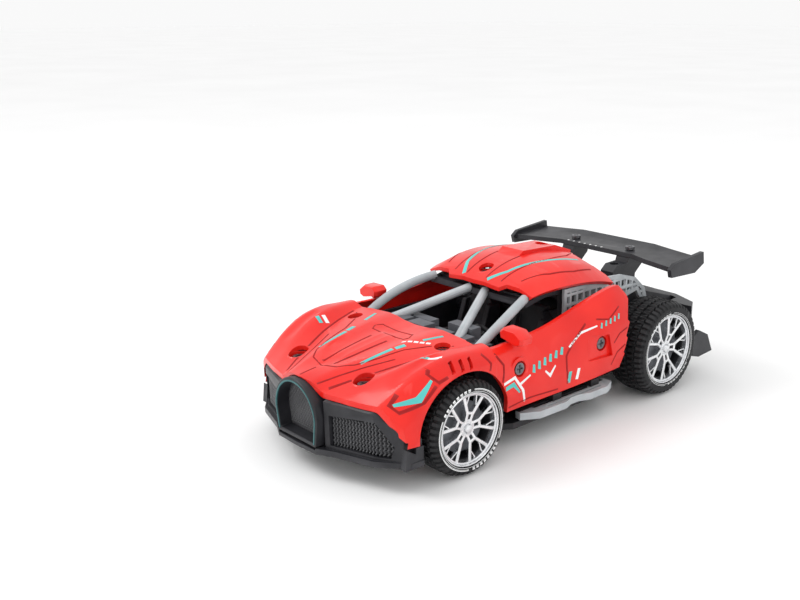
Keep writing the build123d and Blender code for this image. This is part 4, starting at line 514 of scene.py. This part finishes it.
# ------------------------------------------------------------------ tyres and rims
def tyre(name, node, side, outer, wide, radius, bead, axis_y, axis_z, rows, lugs, body):
    """Tread blocks in rows with grooves between them, smooth sidewalls with a raised rib."""
    half = wide / 2
    middle = outer - half
    shoulder = 2.0 if rows == 2 else 2.6
    # one side of the section: (x, radius, kind), where kind tells which tread grooves cross it
    columns = [(half - 0.6, bead, 0), (half - 0.1, bead + 0.5, 0), (half, bead + 0.9, 0),
               (half - 0.05, radius - 2.3, 0), (half - 0.15, radius - 1.9, 0), (half - 0.35, radius - 1.5, 1),
               (half - 0.75, radius - 0.8, 1), (half - shoulder, radius - 0.22, 1)]
    sidewall = len(columns)
    inner = half - shoulder
    step = 2 * inner / rows
    for row in range(rows):
        edge = inner - row * step
        last = edge - step
        columns += [(edge - 0.08, radius - 0.95, 0), (edge - 0.42, radius - 0.95, 0),
                    (edge - 0.5, radius - 0.12, 2 + row % 2), (last + 0.5, radius - 0.12, 2 + row % 2)]
        if row == rows - 1:
            columns += [(last + 0.42, radius - 0.95, 0), (last + 0.08, radius - 0.95, 0)]
    columns += [(-x, r, kind) for x, r, kind in reversed(columns[:sidewall])]
    steps = lugs * 6
    verts, faces = [], []
    count = len(columns)
    for index in range(steps):
        angle = 2 * math.pi * index / steps
        for x, r, kind in columns:
            phase = index
            if kind == 2:
                phase = index + round(x * 1.4)
            elif kind == 3:
                phase = index + 3 - round(x * 1.4)
            gap = kind and (phase % 6) in (4, 5)
            bulge = 0.12 - 0.0022 * x * x if kind >= 2 else 0
            rr = r - (0.62 if gap else -bulge)
            verts.append((side * (middle + x), axis_y + min(rr, radius) * math.cos(angle),
                          axis_z + min(rr, radius) * math.sin(angle)))
    for index in range(steps):
        other = (index + 1) % steps
        for column in range(count):
            nxt = (column + 1) % count
            faces.append((index * count + column, index * count + nxt, other * count + nxt,
                          other * count + column))
    make(name, verts, faces, RUBBER, body, "tyre_rubber", (node,), 28)
    # printed ring on the outer wall: two solid arcs, short bars between them
    bars = []
    ring_r = bead + 0.95
    low, high = outer - 0.06, outer - 0.02

    def arc(a0, a1, r0, r1, n):
        v, f = [], []
        for k in range(n + 1):
            a = math.radians(a0 + (a1 - a0) * k / n)
            for r, x in ((r0, low), (r0, high), (r1, high), (r1, low)):
                v.append((side * x, axis_y + r * math.cos(a), axis_z + r * math.sin(a)))
        for k in range(n):
            for c in range(4):
                f.append((k * 4 + c, k * 4 + (c + 1) % 4, (k + 1) * 4 + (c + 1) % 4, (k + 1) * 4 + c))
        f.append((0, 1, 2, 3))
        f.append((n * 4 + 3, n * 4 + 2, n * 4 + 1, n * 4))
        return v, f

    for centre in (118, 298):
        bars.append(arc(centre + 34, centre + 146, ring_r - 0.24, ring_r + 0.24, 40))
        for k in range(8):
            a = centre - 27 + 7.2 * k
            bars.append(arc(a, a + 4.4, ring_r - 0.40, ring_r + 0.48, 3))
    bars.append(arc(0, 359.99, bead + 0.22, bead + 0.36, 120))
    make(name + "_print", *merge(bars), WHITE, body, "tyre_rubber")


def bar(p0, p1, w0, w1, t0, t1):
    """A tapered spoke bar in wheel coordinates: points are (depth, radius, angle)."""
    def at(depth, r, a):
        return Vector((depth, r * math.cos(a), r * math.sin(a)))
    a, b = at(*p0), at(*p1)
    along = (b - a)
    along.x = 0
    along.normalize()
    across = Vector((0, -along.z, along.y))
    verts = []
    for point, w, t in ((a, w0, t0), (b, w1, t1)):
        for side_step, drop in ((-1, t), (-1, 0.25), (-0.62, 0.0), (0.62, 0.0), (1, 0.25), (1, t)):
            verts.append(tuple(point + across * (w / 2) * side_step + Vector((-drop, 0, 0))))
    faces = [(0, 1, 2, 3, 4, 5), (11, 10, 9, 8, 7, 6)]
    for k in range(6):
        faces.append((k, (k + 1) % 6, 6 + (k + 1) % 6, 6 + k))
    return verts, faces


def rim(name, node, side, outer, wide, bead, axis_y, axis_z, body, turn):
    """Plated rim: stepped lip, five twin spokes with a small fork in each, hub with five nuts."""
    reach = bead - 0.5
    face = outer - 0.9
    back = outer - wide + 1.0
    lip = [(face + 0.5, bead - 0.05), (face + 0.62, bead - 0.25), (face + 0.5, bead - 0.55),
           (face + 0.05, bead - 0.7), (face - 0.1, bead - 1.15), (face - 1.2, bead - 1.3), (back, bead - 1.5),
           (back, bead - 0.05)]
    groups = [lathe(lip, 96, 0, 0, 1, True)]
    for index in range(5):
        centre = turn + index * 2 * math.pi / 5
        knee = reach * 0.44
        for sign in (1, -1):
            near, far = sign * 0.85 / 1.9, sign * 1.05 / knee
            groups.append(bar((face - 1.0, 1.9, centre + near), (face - 0.55, knee, centre + far),
                              0.85, 0.95, 2.0, 1.7))
            groups.append(bar((face - 0.56, knee - 0.25, centre + far),
                              (face - 0.3, reach - 0.2, centre + sign * 0.37), 1.0, 1.15, 1.7, 1.4))
            groups.append(bar((face - 0.9, reach * 0.66, centre + sign * 0.27),
                              (face - 0.75, reach - 0.2, centre + sign * 0.13), 0.5, 0.55, 1.0, 0.9))
        groups.append(bar((face - 0.62, knee, centre - 1.2 / knee), (face - 0.62, knee, centre + 1.2 / knee),
                          0.9, 0.9, 1.5, 1.5))
        between = centre + math.pi / 5
        nut = [(2.15 * math.cos(between) + 0.42 * math.cos(k * math.pi / 3),
                2.15 * math.sin(between) + 0.42 * math.sin(k * math.pi / 3)) for k in range(6)]
        groups.append(prism(nut, lambda p: (face - 1.8, p[0], p[1]), lambda p: (face - 0.75, p[0], p[1])))
    hub = [(back + 0.5, 2.5), (face - 1.6, 2.9), (face - 1.0, 2.7), (face - 0.85, 1.55), (face - 0.5, 1.45),
           (face - 0.1, 1.2), (face + 0.05, 0.6), (face + 0.1, 0.02)]
    groups.append(lathe(hub, 40, 0, 0))
    verts, faces = merge(groups)
    verts = [(side * x, axis_y + y, axis_z + z) for x, y, z in verts]
    make(name, verts, faces, SILVER, body, "silver_rim", (node,), 32)
    # dark drum behind the spokes with a brake disc
    drum = [(face - 1.4, bead - 1.34), (back + 0.2, bead - 1.54), (back + 0.2, 2.55), (back + 0.5, 2.55),
            (back + 0.5, bead - 1.9), (face - 1.4, bead - 1.7)]
    make(name + "_drum", *lathe(drum, 72, axis_y, axis_z, side, True), BLACK, body, "black_plastic")
    disc_x = face - 3.4
    disc = [(disc_x, 2.7), (disc_x, bead - 3.4), (disc_x - 0.5, bead - 3.4), (disc_x - 0.5, 2.7)]
    dverts, dfaces = lathe(disc, 72, axis_y, axis_z, side, True)
    make(name + "_disc", dverts, dfaces, GREY, body, "grey_plastic")


WHEELS = (      # end, outer face, width, radius, bead radius, axle, tread rows, lugs, first spoke's angle
    ("front", 39.5, 11.0, 14.6, 11.3, FRONT_AXLE, 2, 46, 1.35),
    ("rear", 40.0, 15.0, 16.8, 12.3, REAR_AXLE, 3, 50, 1.15),
)
for side, word in ((1, "left"), (-1, "right")):
    for end, outer, wide, radius, bead, axle, rows, lugs, turn in WHEELS:
        tyre(f"tyre_{end}_{word}_tread", f"tyre_{end}_{word}", side, outer, wide, radius, bead, *axle,
             rows, lugs, end + "_wheels")
    for end, outer, wide, radius, bead, axle, rows, lugs, turn in WHEELS:
        rim(f"rim_{end}_{word}_spokes", f"rim_{end}_{word}", side, outer, wide, bead, *axle,
            end + "_wheels", turn)


# ------------------------------------------------------------------ mouldings from the frame
skins = {}
for node, mat, width in (
    ("side_panel_left", RED, 0.3), ("side_panel_right", RED, 0.3), ("roof_panel", RED, 0.25),
    ("mirror_left", RED, 0.35), ("mirror_right", RED, 0.35),
    ("front_bumper", TRIM, 0.25), ("grille_surround", TRIM, 0.3), ("rear_bumper", TRIM, 0.25),
    ("wing_blade", TRIM, 0.3), ("wing_stanchion_left", TRIM, 0.3), ("wing_stanchion_right", TRIM, 0.3),
    ("rear_deck", CABIN, 0.3), ("roof_frame", CABIN, 0.3), ("interior_tub", CABIN, 0.3),
    ("chassis", BLACK, 0.2), ("battery_cover", BLACK, 0.15), ("dashboard", GREY, 0.3),
    ("seat_left", CABIN, 0.7), ("seat_right", CABIN, 0.7), ("steering_wheel", BLACK, 0.1),
    ("roll_cage", LIGHT, 0.15), ("side_lattice_left", LIGHT, 0.15),
    ("side_lattice_right", LIGHT, 0.15), ("side_step_left", LIGHT, 0.4), ("side_step_right", LIGHT, 0.4),
    ("motor_case", GREY, 0.2), ("motor_cover", GREY, 0.15), ("yoke_retainer", BLACK, 0.2),
    ("light_bar", LAMP, 0.2), ("exhaust_pipes", SILVER, 0.15), ("circuit_board", BOARD, 0.08),
    ("speaker", CONE, 0.15), ("battery_cells", NICKEL, 0.2),
):
    skins[node] = moulded(node, mat, "car", width)
moulded("front_yoke", BLACK, "front_carriage", 0.2)
for node, mat in (
    ("front_axle", STEEL), ("rear_axle", STEEL), ("axle_gear", NYLON), ("transfer_gear", NYLON),
    ("spring_gear", NYLON), ("mainspring", BLUED), ("yoke_spring", BLUED), ("nose_unit_screws", SCREW),
    ("shell_screws", SCREW), ("door_screws", SCREW), ("tail_screws", SCREW), ("underside_screws", SCREW),
    ("battery_screw", SCREW),
):
    nodes[node].data.materials.clear()
    nodes[node].data.materials.append(mat)


# ------------------------------------------------------------------ grilles
def box_between(a, b, width, front, back):
    """A bar in the front view from a to b, (x, z), reaching from y = front to y = back at each end."""
    dx, dz = b[0] - a[0], b[1] - a[1]
    span = math.hypot(dx, dz)
    nx, nz = -dz / span * width / 2, dx / span * width / 2
    verts = []
    for (x, z), y0, y1 in ((a, front[0], back[0]), (b, front[1], back[1])):
        verts += [(x + nx, y0, z + nz), (x - nx, y0, z - nz), (x - nx, y1, z - nz), (x + nx, y1, z + nz)]
    faces = [(0, 1, 2, 3), (7, 6, 5, 4)] + [(k, (k + 1) % 4, 4 + (k + 1) % 4, 4 + k) for k in range(4)]
    return verts, faces


def wall_y(x):
    """Front face of the bumper wall in plan."""
    line = [(11.2, -77.2), (27.4, -72.0), (34.9, -67.4)]
    for (x0, y0), (x1, y1) in zip(line, line[1:]):
        if x <= x1:
            break
    return y0 + (y1 - y0) * (x - x0) / (x1 - x0)


def intake_top(x):
    """Upper edge of an intake in the front view."""
    return 20.0 + 0.9 * (x - 12.8) / 15.0 if x < 27.8 else 20.9 - 6.9 * (x - 27.8) / 4.8


for side, node in ((1, "grille_left"), (-1, "grille_right")):
    cells = []
    steps = 34
    panel_verts, panel_faces = [], []
    for k in range(steps + 1):
        x = 12.6 + (32.5 - 12.6) * k / steps
        top = intake_top(x) + 0.2
        for depth in (1.9, 2.4):
            for z in (10.4, top):
                panel_verts.append((side * x, wall_y(x) + depth, z))
    for k in range(steps):
        a, b = 4 * k, 4 * k + 4
        panel_faces += [(a, b, b + 1, a + 1), (a + 2, a + 3, b + 3, b + 2), (a, a + 2, b + 2, b),
                        (a + 1, b + 1, b + 3, a + 3)]
    panel_faces += [(0, 1, 3, 2), (4 * steps, 4 * steps + 2, 4 * steps + 3, 4 * steps + 1)]
    make(node + "_back", panel_verts, panel_faces, BLACK, "car", "black_plastic")
    x = 13.5
    while x < 32.2:
        z, k = 10.8, 0
        while z + 0.75 < intake_top(x) - 0.1:
            shift = 0.26 if k % 2 else -0.26
            a, b = (side * (x + shift), z), (side * (x - shift), z + 0.75)
            y0, y1 = wall_y(x + shift) + 0.95, wall_y(x - shift) + 0.95
            cells.append(box_between(a, b, 0.40, (y0, y1), (y0 + 1.1, y1 + 1.1)))
            z += 0.75
            k += 1
        x += 1.05
    make(node + "_mesh", *merge(cells), MESH, "car", "black_plastic", (node,), 30)


def arch_inside(x, z, shrink):
    """True where a point in front view lies inside the round-topped mouth drawn in by shrink."""
    half, top = 9.6 - shrink, 27.4 - shrink
    if z < 11.0 + shrink:
        return False
    if z < 17.8:
        return abs(x) < half - 0.10 * (17.8 - z)
    return (x / half) ** 2 + ((z - 17.8) / (top - 17.8)) ** 2 < 1


cells = []
edge = [(-8.9, 11.0)] + [(-9.55 * math.cos(math.pi * k / 24), 17.8 + 9.55 * math.sin(math.pi * k / 24))
                         for k in range(25)] + [(8.9, 11.0)]
cells.append(prism(edge, lambda p: (p[0], -75.4, p[1]), lambda p: (p[0], -74.9, p[1])))
for row in range(-12, 12):
    for column in range(-9, 10):
        x = column * 1.1 + (0.55 if row % 2 else 0)
        z = 18.5 + row * 0.72
        if arch_inside(x, z, 0.7):
            cells.append(([(x - 0.5, -75.4, z), (x, -75.4, z - 0.62), (x + 0.5, -75.4, z),
                           (x, -75.4, z + 0.62), (x, -75.78, z)],
                          [(0, 1, 4), (1, 2, 4), (2, 3, 4), (3, 0, 4), (3, 2, 1, 0)]))
make("grille_centre_mesh", *merge(cells), MESH, "car", "black_plastic", ("grille_centre",), 20)


# ------------------------------------------------------------------ printed lines and panel gaps
def tree_of(obj):
    """Search tree over a piece, for dropping printed bands onto it."""
    mesh = obj.data
    return BVHTree.FromPolygons([v.co.copy() for v in mesh.vertices],
                                [tuple(p.vertices) for p in mesh.polygons])


SURFACES = {"hood": tree_of(hood), "roof": tree_of(skins["roof_panel"]), "wing": tree_of(skins["wing_blade"]),
            "left": tree_of(skins["side_panel_left"]), "right": tree_of(skins["side_panel_right"])}


def drop(surface, view, a, b):
    """Point and normal of a surface under (a, b): (x, y) seen from above, (y, z) from a side."""
    if view == "top":
        origin, way = Vector((a, b, 70)) * MM, Vector((0, 0, -1))
    else:
        side = 1 if view == "left" else -1
        origin, way = Vector((side * 60, a, b)) * MM, Vector((-side, 0, 0))
    place_at, normal, _, _ = SURFACES[surface].ray_cast(origin, way)
    if place_at is None:
        return None
    if normal.dot(way) > 0:
        normal = -normal
    return place_at / MM, normal


def ribbon(surface, view, path, widths, lift=0.05):
    """Verts and faces of a thin printed band along a path, with a width at each corner."""
    if not isinstance(widths, (list, tuple)):
        widths = [widths] * len(path)
    corners = [Vector(p) for p in path]
    sides = []
    for k, here in enumerate(corners):
        before = (here - corners[k - 1]).normalized() if k else None
        after = (corners[k + 1] - here).normalized() if k + 1 < len(corners) else None
        way = (before + after).normalized() if before and after else (before or after)
        across = Vector((-way.y, way.x))
        scale = 1.0 / max(0.45, across.dot(Vector((-(after or before).y, (after or before).x))))
        sides.append(across * (widths[k] / 2 * scale))
    rows = []
    for k in range(len(corners) - 1):
        count = max(1, int((corners[k + 1] - corners[k]).length / 0.7))
        for part in range(count + (1 if k == len(corners) - 2 else 0)):
            f = part / count
            mid = corners[k].lerp(corners[k + 1], f)
            off = sides[k].lerp(sides[k + 1], f)
            rows.append((mid + off, mid, mid - off))
    verts, faces, last = [], [], False
    for row in rows:
        hits = [drop(surface, view, p.x, p.y) for p in row]
        if any(hit is None for hit in hits):
            last = False
            continue
        start = len(verts)
        for place_at, normal in hits:
            verts.append(tuple(place_at + normal * lift))
        for place_at, normal in hits:
            verts.append(tuple(place_at - normal * 0.12))
        if last and (Vector(verts[start + 1]) - Vector(verts[start - 5])).length < 2.5:
            a, b = start - 6, start
            faces += [(a, b, b + 1, a + 1), (a + 1, b + 1, b + 2, a + 2), (a + 3, a + 4, b + 4, b + 3),
                      (a + 4, a + 5, b + 5, b + 4), (a, a + 3, b + 3, b), (a + 2, b + 2, b + 5, a + 5)]
        if not last:
            faces += [(start, start + 1, start + 4, start + 3), (start + 1, start + 2, start + 5, start + 4)]
        last = True
        end = start
    if verts:
        faces += [(end, end + 3, end + 4, end + 1), (end + 1, end + 4, end + 5, end + 2)]
    return verts, faces


def printed(name, mat, bands, slot="red_paint"):
    """One piece made of all the given bands."""
    groups = [ribbon(*band) for band in bands]
    groups = [group for group in groups if len(group[0]) > 6]
    make(name, *merge(groups), mat, "car", slot, (), 30)


def mirrored(bands):
    """Adds the same band on the other half of the car."""
    other = {"left": "right"}
    result = []
    for surface, view, path, widths in bands:
        result.append((surface, view, path, widths))
        if view == "top":
            result.append((surface, view, [(-x, y) for x, y in path], widths))
        else:
            result.append((other.get(surface, surface), other.get(view, view), path, widths))
    return result


GAP = 0.5               # usual width of a panel line before widening
GAP_WIDENING = 1.5
gaps = mirrored([
    ("hood", "top", [(10.6, -74.6), (13.0, -70), (17.0, -62), (20.8, -54), (24.0, -46), (26.4, -38)], 0.55),
    ("hood", "top", [(7.2, -76.2), (9.2, -71), (12.6, -63), (16.6, -55)], 0.30),
    ("hood", "top", [(2.2, -67.5), (3.2, -60), (3.9, -48)], GAP),
    ("hood", "top", [(9.6, -64.5), (12.4, -58), (14.6, -50), (19.0, -43), (24.0, -38.6)], 0.34),
    ("hood", "left", [(-52.6, 31.9), (-55.6, 30.9), (-57.2, 33.0), (-55.8, 34.6), (-53.4, 34.9)], GAP),
    ("hood", "left", [(-56.6, 30.2), (-61.0, 26.4), (-67.4, 24.2), (-68.8, 26.0), (-66.0, 28.6)], GAP),
    ("hood", "left", [(-38.6, 35.0), (-36.4, 32.0), (-37.6, 26.4)], GAP),
    ("left", "left", [(-33.2, 33.6), (-30.0, 29.6), (-31.2, 24.6), (-33.2, 21.6)], GAP),
    ("left", "left", [(7.8, 33.9), (1.6, 29.2), (-1.9, 25.5), (-2.3, 21.0), (-1.5, 16.3)], GAP),
    ("left", "left", [(23.6, 36.6), (18.0, 33.4), (12.6, 34.4)], 0.34),
    ("left", "left", [(-29.0, 15.6), (-19.0, 16.4), (-6.0, 15.6)], 0.34),
    ("left", "left", [(26.6, 23.6), (21.4, 21.6), (19.6, 17.4)], 0.34),
    ("left", "left", [(26.8, 29.0), (22.6, 27.8), (19.8, 25.2)], 0.34),
    ("roof", "top", [(4.6, -7.0), (4.9, 2.0), (5.2, 8.0)], 0.34),
    ("roof", "top", [(11.0, -6.4), (12.2, 4.0), (13.0, 14.0), (12.0, 24.0), (9.4, 29.0)], 0.34),
    ("roof", "top", [(17.4, -3.6), (21.0, 6.0), (22.4, 16.0), (22.0, 25.0)], 0.34),
])
gaps.append(("hood", "top", [(0, -77.0), (0, -71.5)], 0.30))
gaps.append(("hood", "top", [(-9.6, -64.5), (-6.0, -68.2), (0, -69.6), (6.0, -68.2), (9.6, -64.5)], 0.30))
gaps.append(("hood", "top", [(-8.6, -43.0), (-7.4, -40.6), (7.4, -40.6), (8.6, -43.0), (7.6, -44.6),
                             (-7.6, -44.6), (-8.6, -43.0)], 0.26))
gaps = [(surface, view, path, widths * GAP_WIDENING) for surface, view, path, widths in gaps]
printed("panel_gaps", RED_LINE, gaps)

teal = mirrored([
    ("hood", "top", [(10.4, -63.0), (11.6, -52.0)], [1.0, 1.4]),
    ("hood", "top", [(12.0, -51.2), (12.7, -48.0)], 1.6),
    ("hood", "top", [(14.3, -42.4), (16.6, -36.4)], [1.2, 1.0]),
    ("hood", "left", [(-68.0, 26.0), (-62.0, 27.2), (-57.0, 31.6)], [0.7, 1.5, 0.5]),
    ("roof", "top", [(5.6, -7.4), (9.6, -2.0), (12.0, 6.0), (14.2, 16.0), (15.6, 25.6)],
     [1.3, 1.2, 1.2, 1.0, 1.0]),
    ("left", "left", [(-32.2, 21.9), (-26.4, 22.7), (-24.0, 19.6)], [1.2, 1.3, 0.6]),
    ("left", "left", [(-0.6, 20.2), (-1.1, 16.4)], 1.5),
])
for k in range(6):      # plain slanted marks along the flank and at the rear corner
    y = -17.0 + 2.6 * k
    teal += mirrored([("left", "left", [(y, 23.9 + 0.5 * k), (y + 0.7, 26.2 + 0.5 * k)], [1.3, 0.9])])
for k in range(5):
    y = 14.2 + 2.1 * k
    teal += mirrored([("left", "left", [(y, 31.2 + 0.36 * k), (y + 0.5, 32.9 + 0.36 * k)], [0.8, 0.6])])
printed("teal_print", TEAL, teal)

white = mirrored([
    ("left", "left", [(-32.2, 23.7), (-25.6, 24.6), (-22.4, 19.6), (-21.2, 15.8)], [0.8, 0.9, 0.9, 0.7]),
    ("left", "left", [(-23.6, 22.0), (-18.6, 23.6)], [0.8, 0.5]),
    ("left", "left", [(-12.0, 23.2), (-10.3, 21.4), (-7.2, 23.8)], [0.6, 0.9, 0.5]),
    ("left", "left", [(-0.4, 28.0), (5.0, 31.4), (12.6, 32.3)], [0.7, 0.8, 0.5]),
    ("left", "left", [(3.5, 20.3), (2.8, 16.6)], 1.3),
])
for k in range(5):      # short plain bars on the hood and along the roof
    white.append(("hood", "top", [(9.6 + 1.7 * k, -46.8 + 0.95 * k), (10.8 + 1.7 * k, -46.1 + 0.95 * k)], 1.0))
    white.append(("roof", "top", [(-21.6 + 0.2 * k, 0.2 + 1.7 * k), (-21.4 + 0.2 * k, 1.3 + 1.7 * k)], 0.9))
white.append(("hood", "top", [(28.4, -52.6), (31.8, -50.2)], [0.6, 1.3]))
white.append(("hood", "top", [(-23.6, -50.4), (-26.6, -50.0)], 1.3))
printed("white_print", WHITE, white)
printed("teal_marks", TEAL, [
    ("hood", "top", [(26.4, -53.8), (28.6, -52.2)], [0.5, 1.0]),
    ("hood", "top", [(-24.0, -52.6), (-27.0, -52.2)], 1.3),
])
marks = []
for k in range(7):
    x = -15.0 + 2.7 * k
    marks.append(("wing", "top", [(x, 52.6), (x + 1.5, 54.2)], [0.9, 0.5]))
printed("wing_print", WHITE, marks, "black_plastic")

# thin dark edge round the mouth
rim_line = [(-8.9, 10.6)] + [(-9.9 * math.cos(math.pi * k / 32), 17.7 + 9.9 * math.sin(math.pi * k / 32))
                             for k in range(33)] + [(8.9, 10.6)]
trim = [box_between(a, b, 0.5, (-79.72, -79.72), (-79.3, -79.3)) for a, b in zip(rim_line, rim_line[1:])]
make("mouth_edge", *merge(trim), TEAL_DARK, "car", "black_plastic")


# ------------------------------------------------------------------ camera, floor and light
EYE = Vector((232.9, -224.7, 130.3)) * MM
AIM = Vector((2.9, -2.6, 21.7)) * MM
camera_data = bpy.data.cameras.new("camera")
camera = bpy.data.objects.new("camera", camera_data)
scene.collection.objects.link(camera)
camera.location = EYE
camera.rotation_euler = (AIM - EYE).to_track_quat("-Z", "Y").to_euler()
camera_data.sensor_width = 36.0
camera_data.lens = 44.84
camera_data.shift_x = -0.115
camera_data.shift_y = 0.0546
camera_data.clip_start = 0.01
scene.camera = camera

FLOOR_HALF = 6.0        # metres
floor_mat, floor_tree, floor_shader = new_material("pale_floor")
floor_tint = ramp(floor_tree, noise(floor_tree, 6, 2).outputs["Fac"],
                  [(0.3, (0.90, 0.90, 0.90)), (0.7, (0.93, 0.93, 0.93))])
floor_tree.links.new(floor_tint.outputs["Color"], floor_shader.inputs["Base Color"])
floor_shader.inputs["Roughness"].default_value = 0.85
floor_mesh = bpy.data.meshes.new("floor")
corners = ((-1, -1), (1, -1), (1, 1), (-1, 1))
floor_mesh.from_pydata([(a * FLOOR_HALF, b * FLOOR_HALF, 0) for a, b in corners], [], [(0, 1, 2, 3)])
floor_mesh.materials.append(floor_mat)
floor = bpy.data.objects.new("floor", floor_mesh)
scene.collection.objects.link(floor)

world = bpy.data.worlds.new("studio")
world.use_nodes = True
background = world.node_tree.nodes["Background"]
background.inputs["Color"].default_value = (1.0, 1.0, 1.0, 1)
background.inputs["Strength"].default_value = 0.95
scene.world = world


def area(name, location, aim, size, power, size_y=None):
    """A soft box: places in metres, power in watts."""
    data = bpy.data.lights.new(name, "AREA")
    data.energy = power
    data.size = size
    if size_y:
        data.shape = "RECTANGLE"
        data.size_y = size_y
    light = bpy.data.objects.new(name, data)
    scene.collection.objects.link(light)
    light.location = location
    light.rotation_euler = (Vector(aim) - Vector(location)).to_track_quat("-Z", "Y").to_euler()


area("key", (-0.38, -0.42, 0.62), (0, 0, 0.02), size=0.34, power=2.2)
area("side", (0.75, 0.10, 0.35), (0, 0, 0.02), size=0.30, power=0.6, size_y=0.5)
ceiling = bpy.data.lights.new("ceiling", "SUN")
ceiling.energy = 0.25
ceiling.angle = 1.3
ceiling_lamp = bpy.data.objects.new("ceiling", ceiling)
ceiling_lamp.rotation_euler = (0.15, -0.15, 0)
scene.collection.objects.link(ceiling_lamp)
scene.view_settings.view_transform = "Standard"
